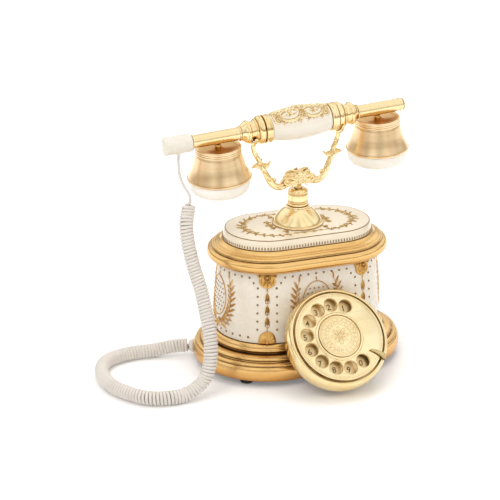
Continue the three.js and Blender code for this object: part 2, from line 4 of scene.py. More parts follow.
import bmesh
import bpy
import numpy as np
from mathutils import Matrix, Vector
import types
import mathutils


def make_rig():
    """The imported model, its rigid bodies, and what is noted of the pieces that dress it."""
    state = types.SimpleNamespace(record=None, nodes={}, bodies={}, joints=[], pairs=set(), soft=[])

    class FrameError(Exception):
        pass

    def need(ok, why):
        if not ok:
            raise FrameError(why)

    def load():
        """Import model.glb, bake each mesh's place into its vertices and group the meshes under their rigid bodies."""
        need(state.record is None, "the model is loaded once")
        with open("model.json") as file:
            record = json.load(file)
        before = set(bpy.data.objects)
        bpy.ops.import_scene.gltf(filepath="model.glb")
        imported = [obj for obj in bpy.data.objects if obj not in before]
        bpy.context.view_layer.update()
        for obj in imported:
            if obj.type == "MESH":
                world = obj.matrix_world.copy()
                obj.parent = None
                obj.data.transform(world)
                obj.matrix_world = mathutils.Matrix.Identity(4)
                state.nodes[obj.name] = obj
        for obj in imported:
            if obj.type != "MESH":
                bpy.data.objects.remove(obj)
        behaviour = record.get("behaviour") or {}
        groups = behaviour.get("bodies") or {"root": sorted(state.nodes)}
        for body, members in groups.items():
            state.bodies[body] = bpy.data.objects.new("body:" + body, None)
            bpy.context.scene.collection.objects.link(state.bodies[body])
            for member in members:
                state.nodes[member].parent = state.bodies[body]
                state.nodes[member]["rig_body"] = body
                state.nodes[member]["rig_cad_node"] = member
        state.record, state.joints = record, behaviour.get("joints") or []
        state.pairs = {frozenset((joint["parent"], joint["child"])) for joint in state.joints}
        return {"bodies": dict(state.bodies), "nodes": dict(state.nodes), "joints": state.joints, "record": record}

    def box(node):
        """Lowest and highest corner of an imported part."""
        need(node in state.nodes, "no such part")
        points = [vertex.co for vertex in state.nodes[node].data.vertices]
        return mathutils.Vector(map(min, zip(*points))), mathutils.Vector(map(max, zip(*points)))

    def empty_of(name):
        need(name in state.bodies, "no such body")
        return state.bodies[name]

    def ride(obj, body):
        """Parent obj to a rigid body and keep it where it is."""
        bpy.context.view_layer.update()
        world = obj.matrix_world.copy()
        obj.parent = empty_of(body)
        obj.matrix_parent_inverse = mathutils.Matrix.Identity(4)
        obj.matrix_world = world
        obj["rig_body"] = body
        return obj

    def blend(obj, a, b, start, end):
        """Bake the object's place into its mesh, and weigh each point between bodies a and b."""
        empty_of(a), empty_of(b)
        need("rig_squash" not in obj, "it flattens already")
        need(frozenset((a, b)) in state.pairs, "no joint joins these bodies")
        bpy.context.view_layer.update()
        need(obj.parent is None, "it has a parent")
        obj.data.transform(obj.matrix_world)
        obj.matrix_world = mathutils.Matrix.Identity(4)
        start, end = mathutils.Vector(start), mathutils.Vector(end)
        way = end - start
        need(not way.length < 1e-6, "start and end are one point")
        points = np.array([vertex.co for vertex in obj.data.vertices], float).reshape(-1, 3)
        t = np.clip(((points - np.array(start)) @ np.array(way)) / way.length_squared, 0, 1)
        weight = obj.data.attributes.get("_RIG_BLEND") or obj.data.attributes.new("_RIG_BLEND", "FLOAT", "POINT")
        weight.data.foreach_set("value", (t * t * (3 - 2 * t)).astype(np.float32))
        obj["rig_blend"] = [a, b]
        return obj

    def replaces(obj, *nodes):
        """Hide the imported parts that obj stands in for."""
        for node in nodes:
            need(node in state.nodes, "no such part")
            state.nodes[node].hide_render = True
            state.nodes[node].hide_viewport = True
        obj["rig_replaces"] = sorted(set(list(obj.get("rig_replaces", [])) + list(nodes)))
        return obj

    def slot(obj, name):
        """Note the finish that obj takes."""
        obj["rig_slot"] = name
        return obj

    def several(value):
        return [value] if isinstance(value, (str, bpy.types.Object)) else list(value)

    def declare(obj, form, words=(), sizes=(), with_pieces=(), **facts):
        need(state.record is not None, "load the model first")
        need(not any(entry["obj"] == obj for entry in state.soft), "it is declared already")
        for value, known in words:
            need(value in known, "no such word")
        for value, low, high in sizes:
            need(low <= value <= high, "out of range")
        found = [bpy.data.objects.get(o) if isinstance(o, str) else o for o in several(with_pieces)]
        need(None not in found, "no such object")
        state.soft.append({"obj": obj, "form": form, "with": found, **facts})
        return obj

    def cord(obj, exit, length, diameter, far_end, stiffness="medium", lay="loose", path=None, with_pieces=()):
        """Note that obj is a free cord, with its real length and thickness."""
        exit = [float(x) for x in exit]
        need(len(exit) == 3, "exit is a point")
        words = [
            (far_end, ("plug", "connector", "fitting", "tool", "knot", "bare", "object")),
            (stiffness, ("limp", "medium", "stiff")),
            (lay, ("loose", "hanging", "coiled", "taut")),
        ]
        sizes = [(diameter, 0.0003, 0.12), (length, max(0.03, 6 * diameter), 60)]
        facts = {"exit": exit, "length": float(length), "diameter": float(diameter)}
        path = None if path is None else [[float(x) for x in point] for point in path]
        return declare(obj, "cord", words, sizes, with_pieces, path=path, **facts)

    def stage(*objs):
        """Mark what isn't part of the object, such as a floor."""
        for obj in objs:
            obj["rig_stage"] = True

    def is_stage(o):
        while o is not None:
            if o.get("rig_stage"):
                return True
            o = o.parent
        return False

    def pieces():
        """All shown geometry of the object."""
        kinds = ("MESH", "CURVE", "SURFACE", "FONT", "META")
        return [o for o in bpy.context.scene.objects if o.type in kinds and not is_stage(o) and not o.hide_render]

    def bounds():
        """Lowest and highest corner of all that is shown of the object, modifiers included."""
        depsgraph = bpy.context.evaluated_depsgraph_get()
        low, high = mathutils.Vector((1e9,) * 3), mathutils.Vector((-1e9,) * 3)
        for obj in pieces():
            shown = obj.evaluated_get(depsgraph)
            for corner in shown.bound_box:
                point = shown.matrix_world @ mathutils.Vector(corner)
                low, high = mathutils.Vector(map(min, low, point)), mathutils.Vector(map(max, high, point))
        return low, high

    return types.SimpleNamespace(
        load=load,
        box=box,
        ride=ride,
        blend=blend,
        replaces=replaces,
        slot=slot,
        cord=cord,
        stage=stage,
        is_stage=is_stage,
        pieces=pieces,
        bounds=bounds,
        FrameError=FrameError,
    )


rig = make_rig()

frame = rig.load()
CAD_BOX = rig.bounds()

# ------------------------------------------------------------------ frame of the object, in mm about the stand's axis
_lo, _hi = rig.box("stand_dome")
OX = float(_lo.x + _hi.x) * 500.0
OY = float(_lo.y + _hi.y) * 500.0
RAD = math.pi / 180.0
A = np.array


def rot(axis, deg):
    return A(Matrix.Rotation(deg * RAD, 3, axis))


G_DIAL = (rot("X", 48.0), A([5.9, -92.5, 55.0]))
G_CRADLE = (rot("Y", -4.0), A([0.0, 0.0, 187.0]))
G_HAND = (rot("Y", -4.0) @ rot("X", 5.0), A([0.0, 0.0, 244.5]))


def put(group, v):
    v = np.asarray(v, float).reshape(-1, 3)
    return v if group is None else v @ group[0].T + group[1]


# ------------------------------------------------------------------ camera
R_AX, U_AX, D_AX = A([0.93393, -0.35747, 0.0]), A([0.12754, 0.33321, 0.93419]), A([0.33395, 0.87247, -0.35678])
cam = bpy.data.objects.new("camera", bpy.data.cameras.new("camera"))
bpy.context.scene.collection.objects.link(cam)
cam.data.lens, cam.data.sensor_width = 115.2, 36.0
cam.data.clip_start, cam.data.clip_end = 0.05, 50.0
_m = Matrix.Identity(4)
for _i in range(3):
    _m[_i][0], _m[_i][1], _m[_i][2] = R_AX[_i], U_AX[_i], -D_AX[_i]
_m[0][3], _m[1][3], _m[2][3] = (-578.4 + OX) / 1000, (-1378.8 + OY) / 1000, 0.6829
cam.matrix_world = _m
bpy.context.scene.camera = cam


# ------------------------------------------------------------------ materials
class Mat:
    """A node material under construction. Coordinates are the row frame's metres, or those of a group when one is given."""

    def __init__(self, name, group=None):
        self.m = bpy.data.materials.new(name)
        self.m.use_nodes = True
        self.nt = self.m.node_tree
        self.nt.nodes.clear()
        out = self.new("ShaderNodeOutputMaterial")
        self.b = self.new("ShaderNodeBsdfPrincipled")
        self.link(self.b.outputs[0], out.inputs[0])
        self.co = self.new("ShaderNodeTexCoord").outputs["Object"]
        mp = self.new("ShaderNodeMapping")
        mp.vector_type = "TEXTURE"
        self.link(self.co, mp.inputs["Vector"])
        if group is None:
            mp.inputs["Location"].default_value = (OX / 1000, OY / 1000, 0)
        else:
            t = group[1] + A([OX, OY, 0])
            mp.inputs["Location"].default_value = tuple(float(x) / 1000 for x in t)
            mp.inputs["Rotation"].default_value = Matrix(group[0].tolist()).to_euler("XYZ")
        self.co = mp.outputs[0]

    def new(self, kind):
        return self.nt.nodes.new(kind)

    def link(self, a, b):
        self.nt.links.new(a, b)

    def feed(self, socket, value):
        if isinstance(value, bpy.types.NodeSocket):
            self.link(value, socket)
        else:
            socket.default_value = value
        return self

    def set(self, **kw):
        names = {"color": "Base Color", "metal": "Metallic", "rough": "Roughness", "coat": "Coat Weight", "coat_rough": "Coat Roughness",
                 "sss": "Subsurface Weight", "sss_scale": "Subsurface Scale", "spec": "Specular IOR Level", "aniso": "Anisotropic",
                 "sheen": "Sheen Weight", "ior": "IOR", "normal": "Normal"}
        for k, v in kw.items():
            if k == "color" and isinstance(v, tuple):
                v = (*v, 1.0)
            self.feed(self.b.inputs[names[k]], v)
        return self

    def scaled(self, s, vec=None):
        n = self.new("ShaderNodeMapping")
        self.link(vec or self.co, n.inputs["Vector"])
        n.inputs["Scale"].default_value = s if isinstance(s, tuple) else (s, s, s)
        return n.outputs[0]

    def noise(self, scale, detail=3.0, rough=0.5, stretch=None, vec=None, dist=0.0):
        n = self.new("ShaderNodeTexNoise")
        v = vec or self.co
        if stretch is not None:
            v = self.scaled(stretch, v)
        self.link(v, n.inputs["Vector"])
        n.inputs["Scale"].default_value = scale
        n.inputs["Detail"].default_value = detail
        n.inputs["Roughness"].default_value = rough
        n.inputs["Distortion"].default_value = dist
        return n.outputs["Fac"]

    def voronoi(self, scale, feature="F1", vec=None):
        n = self.new("ShaderNodeTexVoronoi")
        n.feature = feature
        self.link(vec or self.co, n.inputs["Vector"])
        n.inputs["Scale"].default_value = scale
        return n.outputs["Distance"]

    def ramp(self, fac, *stops):
        n = self.new("ShaderNodeValToRGB")
        cr = n.color_ramp
        while len(cr.elements) < len(stops):
            cr.elements.new(0.5)
        for e, (p, c) in zip(cr.elements, stops):
            e.position = p
            e.color = (c, c, c, 1) if isinstance(c, (int, float)) else (*c, 1)
        self.link(fac, n.inputs["Fac"])
        return n.outputs["Color"]

    def mix(self, fac, a, b, mode="MIX"):
        n = self.new("ShaderNodeMix")
        n.data_type = "RGBA"
        n.blend_type = mode
        for s, v in ((n.inputs[0], fac), (n.inputs[6], a), (n.inputs[7], b)):
            if isinstance(v, tuple):
                v = (*v, 1.0)
            self.feed(s, v)
        return n.outputs[2]

    def math(self, op, a, b=0.0, c=None):
        n = self.new("ShaderNodeMath")
        n.operation = op
        self.feed(n.inputs[0], a)
        self.feed(n.inputs[1], b)
        if c is not None:
            self.feed(n.inputs[2], c)
        return n.outputs[0]

    def xyz(self, vec=None):
        n = self.new("ShaderNodeSeparateXYZ")
        self.link(vec or self.co, n.inputs[0])
        return n.outputs

    def ao(self, dist, samples=4):
        n = self.new("ShaderNodeAmbientOcclusion")
        n.samples = samples
        n.inputs["Distance"].default_value = dist
        return n.outputs["AO"]

    def bump(self, height, strength, distance, after=None):
        n = self.new("ShaderNodeBump")
        n.inputs["Strength"].default_value = strength
        n.inputs["Distance"].default_value = distance
        self.link(height, n.inputs["Height"])
        if after is not None:
            self.link(after, n.inputs["Normal"])
        self.link(n.outputs[0], self.b.inputs["Normal"])
        return n.outputs[0]


def polished(name, group=None, light=(0.95, 0.78, 0.47), deep=(0.87, 0.66, 0.34), crevice_shade=(0.42, 0.22, 0.06), r0=0.08, r1=0.18, ao=0.0022, gap_shadow=False):
    m = Mat(name, group)
    n = m.noise(38.0, 3)
    tone = m.ramp(n, (0.35, deep), (0.68, light))
    # painted shade: the tone darkens towards a dark brown where ambient occlusion finds crevices
    if ao:
        tone = m.mix(m.ramp(m.ao(ao), (0.26, 1.0), (0.80, 0.0)), tone, crevice_shade)
    if gap_shadow:
        # painted shadow on the lip beside the finger wheel, strongest towards the lower left
        x, y, z = m.xyz()
        rr = m.math("SQRT", m.math("ADD", m.math("MULTIPLY", x, x), m.math("MULTIPLY", y, y)))
        side = m.math("DIVIDE", m.math("ADD", m.math("MULTIPLY", x, math.cos(230 * RAD)), m.math("MULTIPLY", y, math.sin(230 * RAD))), rr)
        edge = m.math("SUBTRACT", m.math("MULTIPLY_ADD", m.ramp(side, (0.80, 0.0), (0.99, 1.0)), 0.0016, 0.0462), rr)
        tone = m.mix(m.ramp(m.math("MULTIPLY", edge, 2000.0), (0.0, 0.0), (0.5, 0.9)), tone, (0.24, 0.14, 0.045))
    m.set(color=tone, metal=1.0, rough=m.ramp(m.noise(210.0, 4, 0.6), (0.3, r0), (0.75, r1)))
    m.bump(m.noise(900.0, 2), 0.06, 0.0002)
    return m.m


def brushed(name, group, axis_scale, light=(0.92, 0.70, 0.38), deep=(0.78, 0.52, 0.22), r0=0.16, r1=0.30, aniso=0.0, axis="Z", reflection_bands=None, bump=0.12, shaded_dish=False):
    """Polished gold with fine lathe-turned lines; axis_scale stretches the noise along the turned direction."""
    m = Mat(name, group)
    if aniso:
        tn = m.new("ShaderNodeTangent")
        tn.direction_type, tn.axis = "RADIAL", axis
        m.link(tn.outputs[0], m.b.inputs["Tangent"])
        m.set(aniso=aniso)
    streak = m.noise(1.0, 4, 0.65, stretch=axis_scale)
    tone = m.ramp(streak, (0.30, deep), (0.70, light))
    # painted reflection: darker upright bands on the turned metal
    if reflection_bands:
        tone = m.mix(m.ramp(m.noise(1.0, 2, 0.4, stretch=reflection_bands), (0.40, 0.85), (0.58, 0.0)), tone, tuple(c * k for c, k in zip(deep, (0.86, 0.80, 0.78))))
    if shaded_dish:
        # painted shade and a painted reflection of the tube: the hollow on top of each bell, 84 mm out along the
        # handset, is browner, and darker again where ambient occlusion finds crevices
        x, y, z = m.xyz()
        dx = m.math("SUBTRACT", m.math("ABSOLUTE", x), 0.084)
        rr = m.math("SQRT", m.math("ADD", m.math("MULTIPLY", dx, dx), m.math("MULTIPLY", y, y)))
        dish_shade_mask = m.math("MULTIPLY", m.ramp(m.math("MULTIPLY", rr, 50.0), (0.93, 0.9), (1.0, 0.0)), m.ramp(m.math("MULTIPLY", z, -50.0), (0.50, 1.0), (0.54, 0.0)))
        tone = m.mix(dish_shade_mask, tone, (0.66, 0.37, 0.11))
        tone = m.mix(m.ramp(m.ao(0.0018), (0.30, 0.9), (0.85, 0.0)), tone, (0.34, 0.18, 0.05))
    m.set(color=tone, metal=1.0, rough=m.ramp(streak, (0.3, r0), (0.7, r1)))
    m.bump(streak, bump, 0.0002)
    return m.m


def antique(name, group=None, hi=(0.84, 0.55, 0.225), mid=(0.74, 0.45, 0.155), low=(0.15, 0.06, 0.01), stretch=(10.0, 10.0, 170.0), r0=0.19, r1=0.30, ao=0.0042):
    m = Mat(name, group)
    streak = m.noise(1.0, 5, 0.7, stretch=stretch)
    cloud = m.noise(24.0, 3)
    base = m.ramp(streak, (0.26, mid), (0.56, hi), (0.86, (0.92, 0.68, 0.36)))
    base = m.mix(m.ramp(cloud, (0.42, 0.0), (0.78, 0.45)), base, mid)
    # painted shade: darker and warmer below about 21 mm, towards the floor
    base = m.mix(1.0, base, m.ramp(m.math("MULTIPLY", m.xyz()[2], 40.0), (0.34, (0.90, 0.76, 0.60)), (0.84, (1.0, 1.0, 1.0))), "MULTIPLY")
    # painted shade: surfaces facing down are darker, those facing up keep their colour
    nz = m.new("ShaderNodeSeparateXYZ")
    m.link(m.new("ShaderNodeNewGeometry").outputs["Normal"], nz.inputs[0])
    base = m.mix(1.0, base, m.ramp(m.math("MULTIPLY_ADD", nz.outputs[2], 0.5, 0.5), (0.12, (0.60, 0.45, 0.32)), (0.46, (0.93, 0.88, 0.80)), (0.62, (1.0, 1.0, 1.0))), "MULTIPLY")
    # antique glaze and painted shade: where ambient occlusion finds grooves the colour darkens to a deep brown
    base = m.mix(m.ramp(m.ao(ao, 6), (0.42, 1.0), (0.90, 0.0)), base, low)
    m.set(color=base, metal=0.92, rough=m.ramp(streak, (0.3, r0), (0.75, r1)))
    b = m.bump(streak, 0.08, 0.0004)
    m.bump(m.noise(420.0, 3), 0.08, 0.0003, b)
    return m.m


def gilt(name, group=None, hi=(0.86, 0.62, 0.28), low=(0.34, 0.17, 0.05), rough=(0.24, 0.42), ao=0.0016):
    """Gilded relief on the enamel."""
    m = Mat(name, group)
    base = m.ramp(m.noise(160.0, 3), (0.32, (hi[0] * 0.78, hi[1] * 0.72, hi[2] * 0.62)), (0.66, hi))
    # painted shade: the relief darkens where ambient occlusion finds hollows between its parts
    base = m.mix(m.ramp(m.ao(ao, 4), (0.25, 0.9), (0.85, 0.0)), base, low)
    m.set(color=base, metal=0.9, rough=m.ramp(m.noise(380.0, 2), (0.3, rough[0]), (0.7, rough[1])))
    m.bump(m.noise(1100.0, 2), 0.2, 0.0002)
    return m.m


def enamel(name, group=None, light=(0.79, 0.725, 0.605), shade=(0.735, 0.665, 0.54), dirt_and_shade=(0.52, 0.40, 0.26), rough=(0.20, 0.34), ao=0.004):
    m = Mat(name, group)
    base = m.ramp(m.noise(22.0, 4, 0.6), (0.30, shade), (0.66, light))
    speck = m.ramp(m.noise(520.0, 2), (0.66, 0.0), (0.80, 0.10))
    base = m.mix(speck, base, dirt_and_shade)
    # painted shade: the enamel darkens towards a brown where ambient occlusion finds corners and recesses
    base = m.mix(m.ramp(m.ao(ao, 4), (0.25, 0.55), (0.80, 0.0)), base, dirt_and_shade)
    m.set(color=base, rough=m.ramp(m.noise(95.0, 3), (0.3, rough[0]), (0.7, rough[1])), coat=0.35, coat_rough=0.12, spec=0.5)
    b = m.bump(m.noise(75.0, 3), 0.10, 0.0006)
    m.bump(m.noise(700.0, 2), 0.08, 0.0002, b)
    return m.m


def plastic(name, color, group=None, rough=(0.28, 0.42), sss=0.0, coat=0.0, grain=900.0, strength=0.1):
    m = Mat(name, group)
    lo = tuple(c * 0.93 for c in color)
    m.set(color=m.ramp(m.noise(55.0, 3), (0.3, lo), (0.7, color)), rough=m.ramp(m.noise(260.0, 3), (0.3, rough[0]), (0.7, rough[1])), spec=0.45)
    if sss:
        m.set(sss=sss, sss_scale=0.002)
    if coat:
        m.set(coat=coat, coat_rough=0.06)
    m.bump(m.noise(grain, 3), strength, 0.0002)
    return m.m


def rubber(name):
    m = Mat(name)
    m.set(color=m.ramp(m.noise(90.0, 4), (0.3, (0.012, 0.011, 0.010)), (0.75, (0.035, 0.032, 0.030))), rough=m.ramp(m.noise(300.0, 3), (0.3, 0.62), (0.7, 0.85)))
    m.bump(m.noise(1200.0, 4, 0.7), 0.35, 0.0003)
    return m.m


def metal(name, a, b, rough=(0.25, 0.42), stretch=(300.0, 60.0, 60.0)):
    m = Mat(name)
    n = m.noise(1.0, 4, 0.6, stretch=stretch)
    m.set(color=m.ramp(n, (0.3, a), (0.7, b)), metal=1.0, rough=m.ramp(n, (0.3, rough[0]), (0.7, rough[1])))
    m.bump(n, 0.15, 0.0002)
    return m.m


def laminate(name):
    m = Mat(name)
    track = m.ramp(m.voronoi(260.0, "DISTANCE_TO_EDGE"), (0.02, 1.0), (0.06, 0.0))
    base = m.mix(track, m.ramp(m.noise(60.0, 3), (0.3, (0.02, 0.11, 0.05)), (0.7, (0.035, 0.16, 0.07))), (0.30, 0.20, 0.06))
    m.set(color=base, rough=m.ramp(m.noise(200.0, 2), (0.3, 0.35), (0.7, 0.55)))
    m.bump(track, 0.2, 0.0001)
    return m.m


M_GOLD = polished("gold_polished", r0=0.13, r1=0.23)
M_GOLD_H = polished("gold_polished_handset", G_HAND)
M_GOLD_C = polished("gold_cast_cradle", G_CRADLE, light=(0.95, 0.80, 0.50), deep=(0.87, 0.67, 0.34), crevice_shade=(0.44, 0.26, 0.08), r0=0.12, r1=0.22, ao=0.0018)
M_BELL = brushed("gold_turned_bell", G_HAND, (14.0, 14.0, 260.0), light=(0.99, 0.80, 0.53), deep=(0.95, 0.72, 0.43), r0=0.24, r1=0.28, aniso=0.15, reflection_bands=(58.0, 58.0, 3.0), bump=0.004, shaded_dish=True)
M_TUBE = brushed("gold_turned_tube", G_HAND, (900.0, 24.0, 24.0), light=(0.95, 0.79, 0.48), deep=(0.88, 0.68, 0.37), r0=0.20, r1=0.30)
M_WHEEL = polished("gold_wheel", G_DIAL, light=(0.95, 0.81, 0.52), deep=(0.89, 0.72, 0.41), crevice_shade=(0.50, 0.30, 0.10), r0=0.16, r1=0.26, ao=0.0010)
M_HOUSE = polished("gold_dial_housing", G_DIAL, light=(0.94, 0.79, 0.47), deep=(0.87, 0.68, 0.35), crevice_shade=(0.46, 0.27, 0.09), r0=0.12, r1=0.22, ao=0.0016, gap_shadow=True)
M_PLATE = brushed("gold_number_plate", G_DIAL, (160.0, 160.0, 30.0), light=(0.84, 0.66, 0.38), deep=(0.70, 0.51, 0.25), r0=0.30, r1=0.46)
# painted shade: the finger stop takes a darker gold than the wheel and bezel
M_STOP_SHADED = polished("gold_finger_stop", G_DIAL, light=(0.66, 0.53, 0.27), deep=(0.42, 0.31, 0.13), crevice_shade=(0.20, 0.12, 0.04), r0=0.16, r1=0.28, ao=0.0012)
M_MEDAL = polished("gold_medallion", G_DIAL, light=(0.95, 0.80, 0.50), deep=(0.90, 0.73, 0.42), crevice_shade=(0.50, 0.33, 0.13), r0=0.16, r1=0.24, ao=0.0013)
M_SATIN = antique("gold_antique")
M_GILT = gilt("gilt_relief")
M_LAUREL = gilt("gilt_laurel", None, hi=(0.78, 0.50, 0.21), low=(0.36, 0.165, 0.05), rough=(0.26, 0.42))
M_GILT_H = gilt("gilt_filigree", G_HAND, hi=(0.99, 0.86, 0.58), low=(0.74, 0.55, 0.26), rough=(0.18, 0.30), ao=0.0008)
M_CORBEL = gilt("gilt_corbel", None, hi=(0.80, 0.50, 0.17), low=(0.34, 0.15, 0.03), rough=(0.28, 0.44), ao=0.0022)
M_DOT = gilt("bronze_dot", None, hi=(0.34, 0.22, 0.10), low=(0.10, 0.05, 0.02), rough=(0.30, 0.45), ao=0.001)
M_LINE = gilt("bronze_line", None, hi=(0.36, 0.27, 0.14), low=(0.16, 0.10, 0.04), rough=(0.30, 0.45), ao=0.001)
M_CREAM = enamel("cream_enamel", None, light=(0.85, 0.785, 0.675), shade=(0.79, 0.715, 0.59))
M_LID = enamel("cream_enamel_lid", None, light=(0.87, 0.77, 0.61), shade=(0.81, 0.70, 0.535), rough=(0.14, 0.24))
M_GARLAND = gilt("gilt_garland", None, hi=(0.66, 0.46, 0.19), low=(0.26, 0.13, 0.04), rough=(0.24, 0.40), ao=0.0016)
M_PORC = enamel("porcelain_grip", G_HAND, light=(0.83, 0.765, 0.66), shade=(0.79, 0.72, 0.61), rough=(0.08, 0.15), ao=0.002)
M_WHITE = plastic("white_plastic", (0.93, 0.88, 0.79), G_HAND, rough=(0.16, 0.28), sss=0.08, coat=0.4)
M_CAPW = plastic("white_cord_cap", (0.79, 0.735, 0.64), G_HAND, rough=(0.2, 0.32), sss=0.08, coat=0.3)
M_CORD = plastic("cord_white", (0.76, 0.71, 0.655), None, rough=(0.34, 0.50), sss=0.06, grain=1400.0, strength=0.15)
M_RUBBER = rubber("black_rubber")
M_STEEL = metal("steel", (0.42, 0.43, 0.44), (0.62, 0.63, 0.65))
M_BRASS = metal("plain_brass", (0.58, 0.38, 0.15), (0.78, 0.56, 0.26), stretch=(60.0, 60.0, 300.0))
M_BOARD = laminate("circuit_laminate")
M_DARK = plastic("dark_plastic", (0.035, 0.032, 0.030), None, rough=(0.4, 0.6), grain=700.0, strength=0.3)
M_DIGIT = plastic("digit_ink", (0.15, 0.085, 0.030), None, rough=(0.35, 0.5), grain=2000.0, strength=0.1)


# ------------------------------------------------------------------ mesh helpers (mm)
def fix(me):
    bm = bmesh.new()
    bm.from_mesh(me)
    bmesh.ops.recalc_face_normals(bm, faces=bm.faces)
    bm.to_mesh(me)
    bm.free()


def mesh_mm(name, V, F, group=None):
    V = (put(group, V) + A([OX, OY, 0.0])) * 0.001
    me = bpy.data.meshes.new(name)
    me.from_pydata(V.tolist(), [], [tuple(int(i) for i in f) for f in F])
    fix(me)
    return me


def piece(name, V, F, mat, body, slot, group=None, sharp=35.0, rep=(), me=None):
    me = me or mesh_mm(name, V, F, group)
    me.polygons.foreach_set("use_smooth", [True] * len(me.polygons))
    if sharp:
        me.set_sharp_from_angle(angle=sharp * RAD)
    me.materials.clear()
    me.materials.append(mat)
    me.update()
    o = bpy.data.objects.new(name, me)
    bpy.context.scene.collection.objects.link(o)
    if body is not None:
        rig.ride(o, body)
        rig.slot(o, slot)
    if rep:
        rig.replaces(o, *rep)
    return o


class Acc:
    def __init__(self):
        self.v, self.f, self.n = [], [], 0

    def add(self, vf, at=None, R=None):
        V, F = vf
        V = np.asarray(V, float).reshape(-1, 3)
        if R is not None:
            V = V @ A(R).T
        if at is not None:
            V = V + A(at)
        self.v.append(V)
        self.f += [tuple(i + self.n for i in f) for f in F]
        self.n += len(V)
        return self

    @property
    def V(self):
        return np.concatenate(self.v)

    @property
    def out(self):
        return self.V, self.f


def crom(pts, per=8, by_step=None):
    """Centripetal Catmull-Rom through the points, with ends extrapolated."""
    P = np.asarray(pts, float)
    if len(P) == 2:
        return np.linspace(P[0], P[1], per + 1)
    Q = np.vstack([2 * P[0] - P[1], P, 2 * P[-1] - P[-2]])
    out = []
    for i in range(1, len(Q) - 2):
        p0, p1, p2, p3 = Q[i - 1], Q[i], Q[i + 1], Q[i + 2]
        d0, d1, d2 = (max(np.linalg.norm(b - a), 1e-6) ** 0.5 for a, b in ((p0, p1), (p1, p2), (p2, p3)))
        m1 = ((p1 - p0) / d0 - (p2 - p0) / (d0 + d1) + (p2 - p1) / d1) * d1
        m2 = ((p2 - p1) / d1 - (p3 - p1) / (d1 + d2) + (p3 - p2) / d2) * d1
        n = per if by_step is None else max(2, int(math.ceil(np.linalg.norm(p2 - p1) / by_step)))
        t = np.arange(n)[:, None] / n
        out.append((2 * t**3 - 3 * t**2 + 1) * p1 + (t**3 - 2 * t**2 + t) * m1 + (-2 * t**3 + 3 * t**2) * p2 + (t**3 - t**2) * m2)
    out.append(P[-1][None])
    return np.vstack(out)


def profile(pts, sub=5, bev=0.28, closed=False):
    """Smooth curve through [radius, height] pairs; a pair with a third entry is a corner, eased by a small round."""
    pts = [(p[0], p[1], len(p) > 2) for p in pts]
    if closed:
        k = next((i for i, p in enumerate(pts) if p[2]), 0)
        pts = pts[k:] + pts[:k] + [pts[k]]
    runs, run = [], [pts[0][:2]]
    for p in pts[1:]:
        run.append(p[:2])
        if p[2] or p is pts[-1]:
            runs.append(crom(run, sub))
            run = [p[:2]]
    if len(run) > 1:
        runs.append(crom(run, sub))
    out = []
    count = len(runs)
    for i, r in enumerate(runs):
        r = [A(p) for p in r]
        nxt = runs[(i + 1) % count] if (closed or i + 1 < count) else None
        prv = runs[i - 1] if (closed or i > 0) else None
        if prv is not None and bev:
            d = r[1] - r[0]
            t = min(bev, 0.45 * np.linalg.norm(d)) / max(np.linalg.norm(d), 1e-9)
            r[0] = r[0] + d * t
        if nxt is not None and bev:
            c, d = A(r[-1]), r[-2] - r[-1]
            t = min(bev, 0.45 * np.linalg.norm(d)) / max(np.linalg.norm(d), 1e-9)
            r[-1] = c + d * t
            e = A(nxt[1]) - c
            t = min(bev, 0.45 * np.linalg.norm(e)) / max(np.linalg.norm(e), 1e-9)
            pb = c + e * t
            r.append(0.25 * r[-1] + 0.5 * c + 0.25 * pb)
        out += r if (nxt is not None and bev) or i == count - 1 else r[:-1]
        if nxt is None or bev:
            continue
    if closed and not bev:
        out = out[:-1]
    return [(max(float(p[0]), 0.0), float(p[1])) for p in out]


def lathe(prof, n=96, axis="z", closed=False):
    c, s = np.cos(np.arange(n) * 2 * math.pi / n), np.sin(np.arange(n) * 2 * math.pi / n)
    V, F, rings = [], [], []
    for r, z in prof:
        if r < 1e-5:
            rings.append((True, len(V)))
            V.append((0.0, 0.0, z))
        else:
            rings.append((False, len(V)))
            V += [(r * c[i], r * s[i], z) for i in range(n)]
    pairs = list(zip(rings, rings[1:])) + ([(rings[-1], rings[0])] if closed else [])
    for (pa, a), (pb, b) in pairs:
        if pa and pb:
            continue
        for i in range(n):
            j = (i + 1) % n
            if pa:
                F.append((a, b + i, b + j))
            elif pb:
                F.append((a + i, b, a + j))
            else:
                F.append((a + i, a + j, b + j, b + i))
    V = A(V)
    if axis == "x":
        V = V[:, [2, 0, 1]]
    if axis == "-x":
        V = V[:, [2, 0, 1]] * A([-1, 1, 1])
    return V, F


FLAT = 33.2


def stadium_outline(R, n_end=44, n_flat=16):
    t = np.linspace(-90, 90, n_end + 1) * RAD
    right = np.c_[FLAT + R * np.cos(t), R * np.sin(t)]
    xs = np.linspace(FLAT, -FLAT, n_flat + 1)[1:-1]
    top = np.c_[xs, np.full_like(xs, R)]
    left = np.c_[-FLAT - R * np.cos(t), -R * np.sin(t)]
    bottom = np.c_[-xs, np.full_like(xs, -R)]
    return np.vstack([right, top, left, bottom])


def stadium(prof, closed=False, n_end=44, n_flat=16):
    rings = [stadium_outline(r, n_end, n_flat) for r, _ in prof]
    m = len(rings[0])
    V = np.vstack([np.c_[q, np.full(m, z)] for q, (_, z) in zip(rings, prof)])
    F = []
    rows = len(prof)
    for j in range(rows if closed else rows - 1):
        a, b = j * m, ((j + 1) % rows) * m
        F += [(a + i, a + (i + 1) % m, b + (i + 1) % m, b + i) for i in range(m)]
    if not closed:
        F.append(tuple(range(m))[::-1])
        F.append(tuple(range((rows - 1) * m, rows * m)))
    return V, F


def ring_shape(n):
    t = np.arange(n) * 2 * math.pi / n
    return np.c_[np.cos(t), np.sin(t)]


